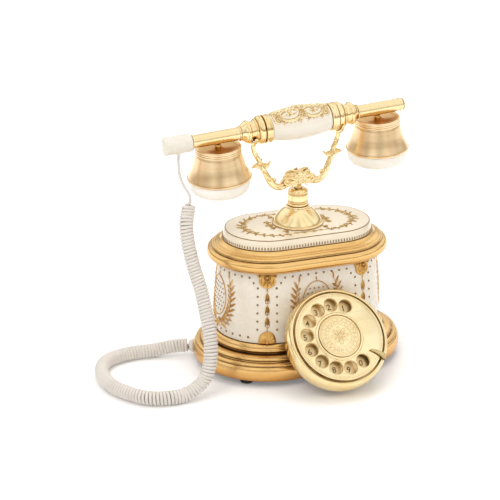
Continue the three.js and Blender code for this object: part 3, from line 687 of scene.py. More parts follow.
LEAF = A([(-1, 0), (-0.62, 0.62), (-0.16, 1.0), (0, 0.55), (0.16, 1.0), (0.62, 0.62), (1, 0), (0, -0.4)])
RIB = A([(-1, 0), (-0.82, 0.56), (-0.42, 0.9), (0, 1.0), (0.42, 0.9), (0.82, 0.56), (1, 0), (0, -0.35)])


def unit(v):
    return v / np.maximum(np.linalg.norm(v, axis=-1, keepdims=True), 1e-9)


def sweep(P, W, H, shape, N, ring=False):
    """Sections of `shape` along P, W across and H along the normal N."""
    P = np.asarray(P, float)
    m = len(P)
    W, H = np.broadcast_to(W, m).astype(float), np.broadcast_to(H, m).astype(float)
    T = unit((np.roll(P, -1, 0) - np.roll(P, 1, 0)) if ring else np.gradient(P, axis=0))
    N = np.broadcast_to(N, (m, 3)).astype(float)
    N = unit(N - T * (T * N).sum(1, keepdims=True))
    B = np.cross(T, N)
    V = P[:, None] + B[:, None] * shape[None, :, :1] * W[:, None, None] + N[:, None] * shape[None, :, 1:] * H[:, None, None]
    k = len(shape)
    F = []
    for j in range(m if ring else m - 1):
        a, b = j * k, ((j + 1) % m) * k
        F += [(a + i, a + (i + 1) % k, b + (i + 1) % k, b + i) for i in range(k)]
    if not ring:
        F.append(tuple(range(k))[::-1])
        F.append(tuple(range((m - 1) * k, m * k)))
    return V.reshape(-1, 3), F


def ellipsoid(c, r, n=24, R=None):
    t = np.linspace(0, math.pi, n // 2 + 1)
    V, F = lathe([(max(math.sin(a), 0) if 0 < i < n // 2 else 0.0, -math.cos(a)) for i, a in enumerate(t)], n)
    V = V * A(r)
    if R is not None:
        V = V @ A(R).T
    return V + A(c), F


# relief drawn in a plane (u, v) with height h, to be laid on a surface
class Relief(Acc):
    def rib(self, pts, w, h, per=6, ends=0.25, base=0.0, shape=RIB):
        P = crom(A(pts, ), per) if len(pts) < 24 else A(pts, dtype=float)
        P = np.c_[P[:, :2], np.full(len(P), base)]
        t = np.linspace(0, 1, len(P))
        W = np.interp(t, [0, 0.12, 0.88, 1], [ends, 1, 1, ends]) * w if np.isscalar(w) else np.interp(t, np.linspace(0, 1, len(w)), w)
        H = np.interp(t, [0, 0.12, 0.88, 1], [ends, 1, 1, ends]) * h if np.isscalar(h) else np.interp(t, np.linspace(0, 1, len(h)), h)
        return self.add(sweep(P, W, H, shape, A([0, 0, 1.0])))

    def leaf(self, u, v, deg, length, width, height, curl=0.0, steps=8, base=0.0):
        t = np.linspace(0, 1, steps)
        a = (deg + curl * t) * RAD
        d = length / (steps - 1)
        x = u + np.concatenate([[0], np.cumsum(np.cos(a[:-1]) * d)])
        y = v + np.concatenate([[0], np.cumsum(np.sin(a[:-1]) * d)])
        w = np.maximum(np.sin(math.pi * t**0.82) ** 0.85, 0.06) * width / 2
        h = np.maximum(np.sin(math.pi * np.clip(t * 0.9 + 0.06, 0, 1)) ** 0.7, 0.12) * height
        return self.add(sweep(np.c_[x, y, np.full(steps, base)], w, h, LEAF, A([0, 0, 1.0])))

    def dot(self, u, v, r, h, n=14, base=0.0, flat=1.0):
        t = np.linspace(0, math.pi / 2, 5)
        prof = [(r, base - 0.35)] + [(r * math.cos(a) if i < 4 else 0.0, base + h * math.sin(a) ** flat) for i, a in enumerate(t)]
        return self.add(lathe([(0.0, base - 0.35)] + prof, n), (u, v, 0))

    def ringlet(self, u, v, rx, ry, w, h, n=40, base=0.0):
        t = np.arange(n) * 2 * math.pi / n
        return self.add(sweep(np.c_[u + rx * np.cos(t), v + ry * np.sin(t), np.full(n, base)], w, h, RIB, A([0, 0, 1.0]), ring=True))

    def spiral(self, u, v, r0, r1, a0, turns, w, h, per=16, base=0.0):
        n = max(8, int(abs(turns) * per))
        t = np.linspace(0, 1, n + 1)
        a = (a0 + 360 * turns * t) * RAD
        r = r0 + (r1 - r0) * t**0.8
        P = np.c_[u + r * np.cos(a), v + r * np.sin(a), np.full(n + 1, base)]
        return self.add(sweep(P, np.interp(t, [0, 0.2, 1], [1, 1, 0.55]) * w, np.interp(t, [0, 1], [1, 0.85]) * h, RIB, A([0, 0, 1.0])))

    def plate(self, outline, h, bevel=0.5, base=-0.4, dome=0.0, rows=3):
        """A raised plate of any convex-ish outline with eased edges."""
        Q = A(outline, dtype=float)
        c = Q.mean(0)
        V, F, k = [], [], len(Q)
        steps = [(0.0, base), (0.0, h - bevel), (bevel * 0.4, h - bevel * 0.3), (bevel, h)]
        for inset, z in steps:
            d = Q - c
            L = np.linalg.norm(d, axis=1, keepdims=True)
            V.append(np.c_[c + d * (1 - inset / L), np.full(k, z)])
        for j in range(1, rows + 1):
            f = 1 - j / (rows + 0.35)
            d = (V[3][:, :2] - c) * f
            V.append(np.c_[c + d, np.full(k, h + dome * (1 - f * f))])
        m = len(V)
        for j in range(m - 1):
            a, b = j * k, (j + 1) * k
            F += [(a + i, a + (i + 1) % k, b + (i + 1) % k, b + i) for i in range(k)]
        F.append(tuple(range(k))[::-1])
        F.append(tuple(range((m - 1) * k, m * k)))
        return self.add((np.vstack(V), F))

    def laid(self, surface):
        V = self.V
        return surface(V[:, 0], V[:, 1], V[:, 2]), self.f


def boolean(me, tool, name):
    """me minus tool, both already in row-frame metres."""
    a = bpy.data.objects.new(name + "_tmp", me)
    b = bpy.data.objects.new(name + "_tool", tool)
    for o in (a, b):
        bpy.context.scene.collection.objects.link(o)
    # boolean work is done at a thousand times the size, then scaled back
    S = Matrix.Scale(1000.0, 4)
    me.transform(S)
    tool.transform(S)
    md = a.modifiers.new("b", "BOOLEAN")
    md.operation, md.solver, md.object = "DIFFERENCE", "EXACT", b
    bpy.context.view_layer.update()
    dg = bpy.context.evaluated_depsgraph_get()
    out = bpy.data.meshes.new_from_object(a.evaluated_get(dg))
    out.name = name
    out.transform(Matrix.Scale(0.001, 4))
    for o in (a, b):
        bpy.data.objects.remove(o)
    return out


def cast(name, V, F, voxel, smooth, group):
    """One cast skin over overlapping shapes: voxel remesh, then relaxed."""
    me = bpy.data.meshes.new(name)
    me.from_pydata(np.asarray(V).tolist(), [], [tuple(int(i) for i in f) for f in F])
    fix(me)
    o = bpy.data.objects.new(name + "_tmp", me)
    bpy.context.scene.collection.objects.link(o)
    md = o.modifiers.new("r", "REMESH")
    md.mode, md.voxel_size, md.adaptivity = "VOXEL", voxel, 0.0
    sm = o.modifiers.new("s", "SMOOTH")
    sm.factor, sm.iterations = 0.5, smooth
    bpy.context.view_layer.update()
    out = bpy.data.meshes.new_from_object(o.evaluated_get(bpy.context.evaluated_depsgraph_get()))
    bpy.data.objects.remove(o)
    W = np.zeros(len(out.vertices) * 3)
    out.vertices.foreach_get("co", W)
    W = (put(group, W.reshape(-1, 3)) + A([OX, OY, 0.0])) * 0.001
    out.vertices.foreach_set("co", W.ravel())
    out.update()
    out.name = name
    return out


# ------------------------------------------------------------------ base: plinth, plate, feet
PLINTH = profile([
    (71.2, 6.2, 1), (72.6, 7.2), (73.7, 10.4), (73.9, 13.8), (73.6, 17.4), (72.9, 19.6), (71.7, 21.0, 1), (70.7, 21.3, 1), (70.5, 22.0, 1), (71.1, 22.5), (70.9, 23.4), (69.8, 24.2), (68.3, 24.5, 1),
    (66.2, 24.1, 1), (65.3, 24.9, 1), (65.9, 26.0), (65.6, 27.2), (63.8, 28.3), (61.0, 28.9), (58.4, 28.8), (56.8, 28.1, 1), (54.8, 28.0, 1), (54.0, 29.2), (54.7, 30.3, 1), (56.3, 30.6), (57.1, 31.8), (56.8, 33.2), (56.0, 34.2, 1),
    (55.1, 34.5, 1), (55.1, 35.4), (54.3, 36.8), (53.0, 37.8, 1), (46.5, 37.8, 1), (50.0, 26.0, 1), (66.5, 20.0, 1), (66.5, 9.2, 1), (68.6, 9.2, 1), (68.6, 6.2, 1)], 4, 0.2, closed=True)
acc = Acc().add(stadium(PLINTH, closed=True, n_end=56, n_flat=20))
SCREWS = [(sx * (33.2 + 63 * math.cos(25 * RAD)), sy * 63 * math.sin(25 * RAD)) for sx in (1, -1) for sy in (-1, 1)]
for x, y in SCREWS:
    acc.add(lathe(profile([(0, 18.4), (1.7, 18.4, 1), (1.7, 9.3, 1), (4.6, 9.3, 1), (5.0, 9.8), (5.0, 24.5, 1), (0, 24.5)], 1, 0.1), 32), (x, y, 0))
piece("plinth_moulding", *acc.out, M_SATIN, "base", "satin_gold", rep=["plinth"])

piece("base_cover", *stadium(profile([(60.0, 7.9, 1), (64.0, 7.4, 1), (67.6, 7.4, 1), (68.2, 7.9), (68.2, 8.5), (67.8, 8.9, 1), (10.0, 8.9, 1)], 2, 0.15)), M_STEEL, "base", "steel", rep=["base_plate"])
for where, sx, sy in (("front_right", 1, -1), ("front_left", -1, -1), ("rear_right", 1, 1), ("rear_left", -1, 1)):
    V, F = lathe(profile([(0, 0.5), (3.0, 0.5, 1), (3.4, 0.0, 1), (5.6, 0.0, 1), (6.3, 0.5), (6.6, 1.3), (6.5, 3.0), (6.25, 3.4), (6.5, 3.8), (6.6, 5.9), (6.1, 7.0, 1), (0, 7.0)], 4, 0.12), 56)
    piece("rubber_foot_" + where, V + A([sx * 71.5, sy * 46.0, 0]), F, M_RUBBER, "base", "black_rubber", rep=["foot_" + where])
    x, y = sx * abs(SCREWS[0][0]), sy * abs(SCREWS[0][1])
    acc = Acc().add(lathe(profile([(0, 5.9), (1.0, 5.9, 1), (1.25, 5.25, 1), (2.4, 5.25), (3.0, 5.6), (3.4, 6.3), (3.4, 7.0, 1), (1.5, 7.1, 1), (1.5, 17.6), (0, 18.0)], 3, 0.08), 32))
    hx = []
    for i in range(44):  # thread, one turn every 0.9 mm
        for k in range(12):
            a = k * math.pi / 6
            hx.append((1.5 * math.cos(a), 1.5 * math.sin(a), 7.6 + 0.9 * (i * 12 + k) / 12 * 0.25))
    acc.add(sweep(A(hx), 0.18, 0.18, ring_shape(5), unit(A(hx) * A([1, 1, 0]))))
    piece("cover_screw_" + where, acc.V + A([x, y, 0]), acc.f, M_STEEL, "base", "steel", rep=["base_screw_" + where])

# ------------------------------------------------------------------ body with its relief
BZ = A([38.2, 50.0, 72.0, 93.0, 111.1])
BR = A([52.0, 52.3, 51.4, 49.7, 47.0])
_fine = crom(np.c_[BR, BZ], 12)


def body_r(z):
    return np.interp(z, _fine[:, 1], _fine[:, 0])


def body_slope(z):
    return (body_r(z + 1.0) - body_r(z - 1.0)) / 2.0


def on_body(u, v, h):
    """u runs counter-clockwise round the stadium from the middle of the front; v is the height."""
    L, Q = 33.2, 50.0 * math.pi
    total = 4 * L + 2 * Q
    u = np.mod(u + L, total)
    R = body_r(v)
    k = body_slope(v)
    q = 1 / np.sqrt(1 + k * k)
    r = R + h * q
    z = v - h * k * q
    a1 = (u - 2 * L) / 50.0
    a2 = (u - 4 * L - Q) / 50.0
    f, e1, b = u < 2 * L, u < 2 * L + Q, u < 4 * L + Q
    x = np.where(f, u - L, np.where(e1, L + r * np.sin(a1), np.where(b, L - (u - 2 * L - Q), -L - r * np.sin(a2))))
    y = np.where(f, -r, np.where(e1, -r * np.cos(a1), np.where(b, r, r * np.cos(a2))))
    return np.c_[x, y, z]


acc = Acc().add(stadium(profile([(49.0, 38.2, 1), (51.7, 38.2, 1), (52.1, 42.0), (52.3, 50.0), (52.0, 61.0), (51.4, 72.0), (50.65, 83.0), (49.7, 93.0), (48.6, 101.6), (47.0, 111.1, 1),
                                  (44.0, 111.1, 1), (46.7, 93.0), (48.4, 72.0), (49.3, 50.0)], 4, 0.2, closed=True), closed=True, n_end=56, n_flat=20))
shell = mesh_mm("enamel_body", *acc.out)
V, F = lathe([(0, -67), (6.3, -67), (6.3, -37), (0, -37)], 48)
tool = mesh_mm("hole", V[:, [0, 2, 1]] + A([5.9, 0, 66.0]), F)
piece("enamel_body", None, None, M_CREAM, "base", "cream_enamel", rep=["body_shell"], me=boolean(shell, tool, "enamel_body"))

TOTAL = 4 * 33.2 + 100 * math.pi
JOINTS_U = [51.0, -51.0, TOTAL / 2 - 51.0, TOTAL / 2 + 51.0]
PANELS = [(0.0, 51.0), (TOTAL / 4, TOTAL / 4 - 51.0), (TOTAL / 2, 51.0), (-TOTAL / 4, TOTAL / 4 - 51.0)]

corbel, drops, dots = Relief(), Relief(), Relief()
for ju in JOINTS_U:
    half = [(0, 110.9), (9.9, 110.9), (10.1, 108.2), (8.8, 106.2), (7.9, 103.8), (8.2, 101.6), (7.5, 99.4), (6.1, 98.2), (4.5, 97.0), (2.4, 96.0), (0, 95.7)]
    out = crom(A(half)[1:], 4)
    outline = np.vstack([out, (out * A([-1, 1]))[::-1]])[:-1] + A([ju, 0])
    corbel.plate(outline, 1.7, 0.7, dome=0.5)
    corbel.ringlet(ju, 106.6, 3.9, 3.8, 0.8, 1.5, base=1.8)
    corbel.ringlet(ju, 106.6, 2.4, 2.3, 0.45, 1.0, base=2.0, n=28)
    corbel.dot(ju, 106.6, 1.5, 1.7, base=2.0)
    for s in (-1, 1):
        corbel.spiral(ju + s * 7.4, 108.3, 2.1, 0.4, 90, -s * 1.4, 0.6, 1.1, base=1.7)
        corbel.leaf(ju + s * 1.4, 102.9, 270 + s * 40, 5.6, 2.6, 1.0, curl=-s * 26, base=2.1)
        corbel.leaf(ju + s * 5.9, 105.4, 270 + s * 8, 5.8, 2.1, 0.9, curl=-s * 40, base=1.8)
    corbel.leaf(ju, 102.8, 270, 6.2, 3.0, 1.2, base=2.2)
    for k in range(7):
        corbel.dot(ju - 5.4 + 1.8 * k, 97.6 + 0.34 * abs(k - 3) ** 1.5, 0.6, 0.8, base=1.4, n=10)
    # drop of beads and long husks
    drops.dot(ju, 94.4, 0.8, 0.9)
    drops.dot(ju, 92.7, 0.95, 1.0)
    for z0, sc in ((91.4, 1.0), (79.0, 0.94), (67.2, 1.04)):
        drops.leaf(ju, z0, 270, 10.4 * sc, 2.3 * sc, 1.6, base=0.1)
        for s in (-1, 1):
            drops.leaf(ju + s * 0.3, z0 - 0.8, 270 + s * 17, 10.0 * sc, 2.1 * sc, 1.3, curl=-s * 20, base=0.0)
            drops.leaf(ju + s * 0.4, z0 - 4.4 * sc, 270 + s * 40, 5.0 * sc, 1.5 * sc, 1.1, curl=-s * 60, base=0.0)
            drops.dot(ju + s * 1.3, z0 - 10.9 * sc, 0.55, 0.8, n=10)
        drops.dot(ju, z0 - 11.2 * sc, 0.8, 1.0)
    drops.dot(ju, 53.8, 0.8, 0.9)
    drops.dot(ju, 52.3, 0.6, 0.8)
    # scallop standing on the plinth
    arc = [(ju + 8.3 * math.cos(t), 38.6 + 12.9 * math.sin(t) ** 0.82) for t in np.linspace(0.0, math.pi, 25)]
    corbel.plate(A(arc + [(ju - 3.5, 38.5), (ju + 3.5, 38.5)]), 1.5, 0.6, dome=0.8)
    for k in range(7):
        t = math.pi * (k + 0.5) / 7
        corbel.rib([(ju + 1.4 * math.cos(t), 39.4 + 1.2 * math.sin(t)), (ju + 7.2 * math.cos(t), 38.9 + 11.2 * math.sin(t) ** 0.85)], [0.3, 1.05, 0.6], [0.3, 1.2, 0.5], per=8, base=1.5)
    corbel.dot(ju, 40.0, 1.5, 1.2, base=1.8)

leaves = Relief()
for pu, hw in PANELS:
    a, c = hw - 9.3, 9.0
    loop = [(-a + c, 105.0), (a - c, 105.0), (a, 95.4), (a, 53.0), (a - c, 44.0), (-a + c, 44.0), (-a, 53.0), (-a, 95.4), (-a + c, 105.0)]
    for (x0, y0), (x1, y1) in zip(loop, loop[1:]):
        n = max(1, round(math.hypot(x1 - x0, y1 - y0) / 8.7))
        for i in range(n):
            dots.dot(pu + x0 + (x1 - x0) * i / n, y0 + (y1 - y0) * i / n, 1.12, 0.85)
    # oval filled with a lattice of studs
    leaves.ringlet(pu, 77.0, 15.2, 20.4, 0.5, 0.85, n=72)
    for j in range(-4, 5):
        for i in range(-3, 4):
            x, y = 4.7 * i + (2.35 if j % 2 else 0), 4.5 * j
            if (x / 13.2) ** 2 + (y / 18.0) ** 2 < 1:
                dots.dot(pu + x, 77.0 + y, 0.78, 0.7, n=10)
    for s in (-1, 1):
        stem = crom(A([(1.0, 50.0), (8.0, 51.4), (15.2, 57.0), (20.0, 66.0), (22.2, 77.0), (21.6, 88.0), (18.4, 98.0)]), 10)
        leaves.rib([(pu + s * x, y) for x, y in stem], [0.7, 0.6, 0.45, 0.25], [0.9, 0.8, 0.7, 0.4])
        d = np.gradient(stem, axis=0)
        # long palm-like leaves, spread outwards and upwards
        for n_l, k in enumerate(range(6, len(stem) - 6, 5)):
            base = math.degrees(math.atan2(d[k, 1], d[k, 0]))
            for side in (-1, 1):
                x, y = stem[k] if side > 0 else stem[k + 3]
                deg = base + side * (30 if side > 0 else 26)
                deg = deg if s > 0 else 180 - deg
                leaves.leaf(pu + s * x, y, deg, (11.0 if side < 0 else 8.6) - 0.26 * n_l, 2.6, 1.35, curl=side * s * 20, steps=10)
            leaves.dot(pu + s * (stem[k, 0] + 3.4), stem[k, 1] - 3.0, 0.75, 0.9, n=10)
        leaves.leaf(pu + s * stem[-1, 0], stem[-1, 1], 90 + s * 8, 7.4, 2.6, 1.2)
        leaves.leaf(pu + s * 0.8, 50.0, 270 + s * 52, 6.4, 2.3, 1.1, curl=-s * 30)
        leaves.spiral(pu + s * 4.6, 53.4, 2.3, 0.4, 270, s * 1.3, 0.45, 0.8)
    leaves.dot(pu, 50.4, 1.5, 1.4)
    leaves.leaf(pu, 49.4, 270, 5.2, 2.3, 1.1)
    leaves.leaf(pu, 98.4, 90, 4.0, 2.0, 1.0)
piece("panel_corbels", *corbel.laid(on_body), M_CORBEL, "base", "satin_gold")
piece("panel_drops", *drops.laid(on_body), M_GILT, "base", "satin_gold")
piece("panel_laurels", *leaves.laid(on_body), M_LAUREL, "base", "satin_gold")
piece("panel_studs", *dots.laid(on_body), M_DOT, "base", "satin_gold")

# ------------------------------------------------------------------ cornice
piece("cornice_gilt", *stadium(profile([
    (45.2, 111.4, 1), (52.6, 111.4, 1), (54.6, 111.8), (56.4, 113.0, 1), (56.5, 113.9, 1), (57.9, 114.4), (58.9, 116.0), (59.25, 118.4), (58.9, 120.6), (57.9, 122.3), (56.2, 123.4, 1),
    (54.0, 123.7, 1), (53.4, 124.7, 1), (54.1, 125.2), (53.6, 126.3), (52.2, 127.1, 1), (51.0, 127.0, 1), (49.8, 127.7), (47.6, 128.5), (45.9, 129.8), (44.9, 130.9), (44.3, 131.4, 1),
    (39.5, 131.4, 1), (39.5, 116.0, 1)], 4, 0.18, closed=True), closed=True, n_end=56, n_flat=20), M_SATIN, "base", "satin_gold", rep=["cornice_moulding"])

# ------------------------------------------------------------------ lid
lid = mesh_mm("enamel_lid", *stadium(profile([
    (38.9, 131.7, 1), (43.3, 131.7, 1), (43.5, 133.2), (43.3, 135.6), (42.8, 137.8), (42.0, 139.8), (41.3, 141.0), (40.3, 141.8), (39.4, 141.9, 1), (24.0, 141.9, 1)], 5, 0.25)))
cutter = mesh_mm("c", *stadium([(39.0 - 0.4, 131.0), (38.6, 133.0), (36.6, 137.2)]))
lid = boolean(lid, cutter, "enamel_lid")
V, F = lathe([(0, 130), (4.4, 130), (4.4, 145), (0, 145)], 48)
lid = boolean(lid, mesh_mm("c2", V, F), "enamel_lid")
piece("enamel_lid", None, None, M_LID, "base", "cream_enamel", rep=["top_lid"], me=lid)

n = 200
path = stadium_outline(41.0, 60, 40)
piece("lid_edge_line", *sweep(np.c_[path, np.full(len(path), 141.25)], 0.5, 0.5, ring_shape(8), A([0, 0, 1.0]), ring=True), M_LINE, "base", "satin_gold")
path = stadium_outline(43.5, 60, 40)
piece("lid_foot_line", *sweep(np.c_[path, np.full(len(path), 131.95)], 0.22, 0.22, ring_shape(8), A([0, 0, 1.0]), ring=True), M_SATIN, "base", "satin_gold")


def walk(R, spacing):
    """Evenly spaced points with outward normals round a stadium."""
    total = 4 * FLAT + 2 * math.pi * R
    n = int(round(total / spacing))
    for i in range(n):
        s = total * i / n
        if s < 2 * FLAT:
            yield s - FLAT, -R, 0.0, -1.0
            continue
        s -= 2 * FLAT
        if s < math.pi * R:
            a = -math.pi / 2 + s / R
            yield FLAT + R * math.cos(a), R * math.sin(a), math.cos(a), math.sin(a)
            continue
        s -= math.pi * R
        if s < 2 * FLAT:
            yield FLAT - s, R, 0.0, 1.0
            continue
        s -= 2 * FLAT
        a = math.pi / 2 + s / R
        yield -FLAT + R * math.cos(a), R * math.sin(a), math.cos(a), math.sin(a)


beads = Acc()
for x, y, nx, ny in walk(43.5, 2.95):
    beads.add(ellipsoid((x - 0.1 * nx, y - 0.1 * ny, 134.1), (0.72, 0.55, 1.6), 12, A([[-ny, nx, 0], [nx, ny, 0], [0, 0, 1]])))
piece("lid_bead_row", *beads.out, M_LINE, "base", "satin_gold")


def on_lid(u, v, h):
    return np.c_[u, v, 141.9 + h]


top = Relief()
for s in (-1, 1):
    # open laurel round each end: spiky leaves in pairs on a thin stem, fuller in the middle
    for q in (-1, 1):
        st = crom(A([(s * (FLAT + 24.6), q * 0.6), (s * (FLAT + 22.6), q * 10.0), (s * (FLAT + 15.6), q * 20.0), (s * (FLAT + 5.4), q * 27.4), (s * (FLAT - 7.0), q * 30.4), (s * (FLAT - 17.0), q * 29.4)]), 12)
        top.rib(st, [0.5, 0.5, 0.35, 0.2], [0.7, 0.7, 0.6, 0.3])
        D = np.gradient(st, axis=0)
        for i, k in enumerate(range(2, len(st) - 6, 8)):
            base = math.degrees(math.atan2(D[k, 1], D[k, 0]))
            f = 1.0 - 0.055 * i
            for side in (-1, 1):
                kk = k if side > 0 else min(k + 2, len(st) - 1)
                top.leaf(st[kk, 0], st[kk, 1], base + side * (48 - 2 * i), 7.0 * f, 1.75 * f, 1.1, curl=side * 26, steps=9)
            if i % 2 == 0:
                top.leaf(st[k, 0], st[k, 1], base + q * s * 86, 4.2 * f, 1.6, 1.0)
                top.dot(st[k, 0] + 1.6 * math.cos((base + 100) * RAD), st[k, 1] + 1.6 * math.sin((base + 100) * RAD), 0.6, 0.8, n=10)
        top.leaf(st[-1, 0], st[-1, 1], math.degrees(math.atan2(D[-1, 1], D[-1, 0])) + 14 * q * s, 5.6, 1.5, 0.9, curl=-30 * q * s)
        # hooked tendrils running on towards the middle
        e = st[-1]
        top.rib([(e[0] - s * 3.0, e[1] + q * 1.6), (e[0] - s * 6.4, e[1] - q * 0.6), (e[0] - s * 9.6, e[1] + q * 0.8), (e[0] - s * 11.4, e[1] + q * 2.6), (e[0] - s * 13.2, e[1] + q * 1.4)], [0.25, 0.4, 0.25], [0.4, 0.6, 0.4], per=6)
        # sprays springing from the foot of the dome
        for ang, ln, cu in ((15, 8.6, 18), (46, 7.4, 26)):
            a = ang * q * RAD
            x0, y0 = s * 26.6 * math.cos(a), 26.6 * math.sin(a)
            out = math.degrees(math.atan2(y0, x0))
            top.rib([(x0, y0), (x0 + 4.4 * math.cos((out + 14 * q * s) * RAD), y0 + 4.4 * math.sin((out + 14 * q * s) * RAD)), (x0 + 7.0 * math.cos((out + 30 * q * s) * RAD), y0 + 7.0 * math.sin((out + 30 * q * s) * RAD))], [0.5, 0.4, 0.25], [0.8, 0.7, 0.4], per=5)
            for dd, l2 in ((44, 5.2), (6, 6.8), (-36, 5.4)):
                top.leaf(x0 + 1.6 * math.cos(out * RAD), y0 + 1.6 * math.sin(out * RAD), out + dd * q * s, l2 * ln / 9.0, 1.5, 1.05, curl=cu * q * s * (1 if dd > 0 else -1) * 0.8, steps=9)
        top.spiral(s * 29.4, q * 2.6, 2.0, 0.4, 180 if s > 0 else 0, q * s * 1.2, 0.45, 0.9)
    top.leaf(s * 26.6, 0, 0 if s > 0 else 180, 8.4, 2.8, 1.4)
for q in (-1, 1):
    top.rib([(-7, q * 27.4), (-3.5, q * 29.0), (0, q * 28.2), (3.5, q * 29.0), (7, q * 27.4)], [0.3, 0.5, 0.3], [0.5, 0.8, 0.5], per=8)
    for s in (-1, 1):
        top.leaf(s * 3.5, q * 28.8, q * 90 - s * q * 48, 4.4, 1.6, 0.9)
    top.dot(0, q * 28.4, 1.0, 1.0)
piece("lid_garlands", *top.laid(on_lid), M_GARLAND, "base", "satin_gold")

# ------------------------------------------------------------------ stand
piece("stand_foot_dome", *lathe(profile([
    (25.4, 142.25, 1), (25.6, 142.7), (25.5, 143.3), (25.0, 143.8, 1), (24.3, 144.1, 1), (24.2, 144.9), (23.5, 146.6), (22.3, 148.6), (20.2, 151.2), (17.6, 154.0), (14.6, 156.6), (12.6, 158.1, 1), (12.2, 158.8),
    (11.9, 159.8), (11.2, 160.6, 1), (4.2, 160.7, 1), (4.2, 155.0, 1), (12.0, 152.2), (21.6, 142.25, 1)], 5, 0.15, closed=True), 128, closed=True), M_GOLD, "base", "polished_gold", rep=["stand_dome"])
piece("stand_neck", *lathe(profile([
    (10.1, 160.95, 1), (10.4, 161.6), (10.4, 162.5), (10.1, 163.1, 1), (9.2, 163.6, 1), (9.1, 164.2), (9.3, 164.9, 1), (10.2, 165.3, 1), (10.45, 166.4), (10.3, 169.2), (10.2, 171.6), (9.9, 172.5, 1), (9.2, 172.9, 1), (9.2, 173.5, 1),
    (9.9, 173.9), (10.1, 174.6), (9.6, 175.8), (8.4, 177.2), (7.2, 178.0, 1), (4.2, 178.0, 1), (4.2, 160.95, 1)], 4, 0.12, closed=True), 112, closed=True), M_GOLD, "base", "polished_gold", rep=["stand_collar"])
piece("plunger_rod", *lathe(profile([
    (0, 108.6), (2.6, 108.6, 1), (3.5, 109.8, 1), (3.5, 124.0, 1), (6.0, 124.0, 1), (6.0, 126.2, 1), (3.5, 126.2, 1), (3.5, 181.6, 1), (0, 181.7)], 3, 0.2), 48), M_BRASS, "cradle", "plain_brass", rep=["cradle_stem"])

# ------------------------------------------------------------------ cradle: cast hub and arms
UP = 57.5 * math.cos(4 * RAD)
hub = Acc()
hub.add(ellipsoid((0, 0, 3.0), (14.0, 7.0, 6.5), 32))
for s in (-1, 1):
    hub.add(ellipsoid((s * 10.8, 0, 0.8), (5.0, 4.6, 4.4), 24))
    hub.add(ellipsoid((s * 7.8, 0, 5.0), (4.8, 4.4, 3.8), 24))
    for q in (-1, 1):
        for dg, ln in ((-38, 6.2), (-8, 7.2), (22, 6.8), (52, 6.0), (82, 5.2)):
            c0, s0 = math.cos(dg * RAD), math.sin(dg * RAD)
            P = crom(A([(s * 4.4 * c0, q * 5.9, 0.8 + 4.4 * s0), (s * (4.4 + ln * 0.5) * c0, q * 6.2, 0.8 + (4.4 + ln * 0.5) * s0), (s * (4.4 + ln) * c0, q * 3.9, 0.8 + (4.4 + ln) * s0)]), 8)
            t = np.linspace(0, 1, len(P))
            hub.add(sweep(P, 1.75 * np.maximum(np.sin(math.pi * t**0.9), 0.3), 1.1, ring_shape(10), A([0, q * 1.0, 0.2])))
hub.add(lathe(profile([(0, -3.6), (4.4, -3.6, 1), (5.3, -3.2), (5.3, -2.2, 1), (4.6, -1.7, 1), (5.0, 0.5), (0, 2.0)], 3, 0.1), 40))
for q in (-1, 1):
    # rosette on the front and the back
    Rq = A([[1, 0, 0], [0, 0, q], [0, 1, 0]])
    hub.add(lathe([(0, 0.0), (4.6, 0.0), (4.6, 0.9), (4.1, 1.4), (3.6, 1.0), (0, 1.0)], 40), (0, q * 5.6, 0.8), Rq)
    for k in range(8):
        t = k * math.pi / 4
        hub.add(ellipsoid((2.5 * math.cos(t), q * 7.0, 0.8 + 2.5 * math.sin(t)), (1.5, 0.9, 0.75), 14, A([[math.cos(t), 0, -math.sin(t)], [0, 1, 0], [math.sin(t), 0, math.cos(t)]])))
    hub.add(ellipsoid((0, q * 7.5, 0.8), (1.15, 0.95, 1.15), 16))
    for s in (-1, 1):
        # leaf scrolls lapping from the boss to the arms and up
        for pts, w, h in (
            ([(s * 3.5, q * 5.4, -1.6), (s * 7.4, q * 5.6, -2.3), (s * 11.4, q * 4.9, -2.8), (s * 14.6, q * 3.9, -1.6), (s * 15.4, q * 3.2, 0.6), (s * 13.8, q * 3.0, 1.6)], 1.55, 1.4),
            ([(s * 4.6, q * 5.8, 1.4), (s * 7.8, q * 5.6, 3.6), (s * 11.2, q * 4.4, 4.2), (s * 13.8, q * 3.2, 3.0), (s * 13.6, q * 2.8, 1.2)], 1.6, 1.4),
            ([(s * 2.0, q * 4.8, 4.4), (s * 4.8, q * 4.4, 6.8), (s * 8.4, q * 3.2, 8.2), (s * 11.4, q * 2.2, 7.6), (s * 12.0, q * 1.6, 5.8), (s * 10.6, q * 1.4, 4.8)], 1.4, 1.25),
            ([(s * 6.4, q * 6.2, -0.6), (s * 9.0, q * 6.0, 0.4), (s * 11.6, q * 4.8, 0.2)], 1.3, 1.1),
        ):
            P = crom(A(pts), 8)
            t = np.linspace(0, 1, len(P))
            hub.add(sweep(P, w * np.interp(t, [0, 0.3, 1], [0.5, 1, 0.55]), h * np.interp(t, [0, 0.4, 1], [0.6, 1, 0.7]), ring_shape(10), A([0, q * 1.0, 0.3])))
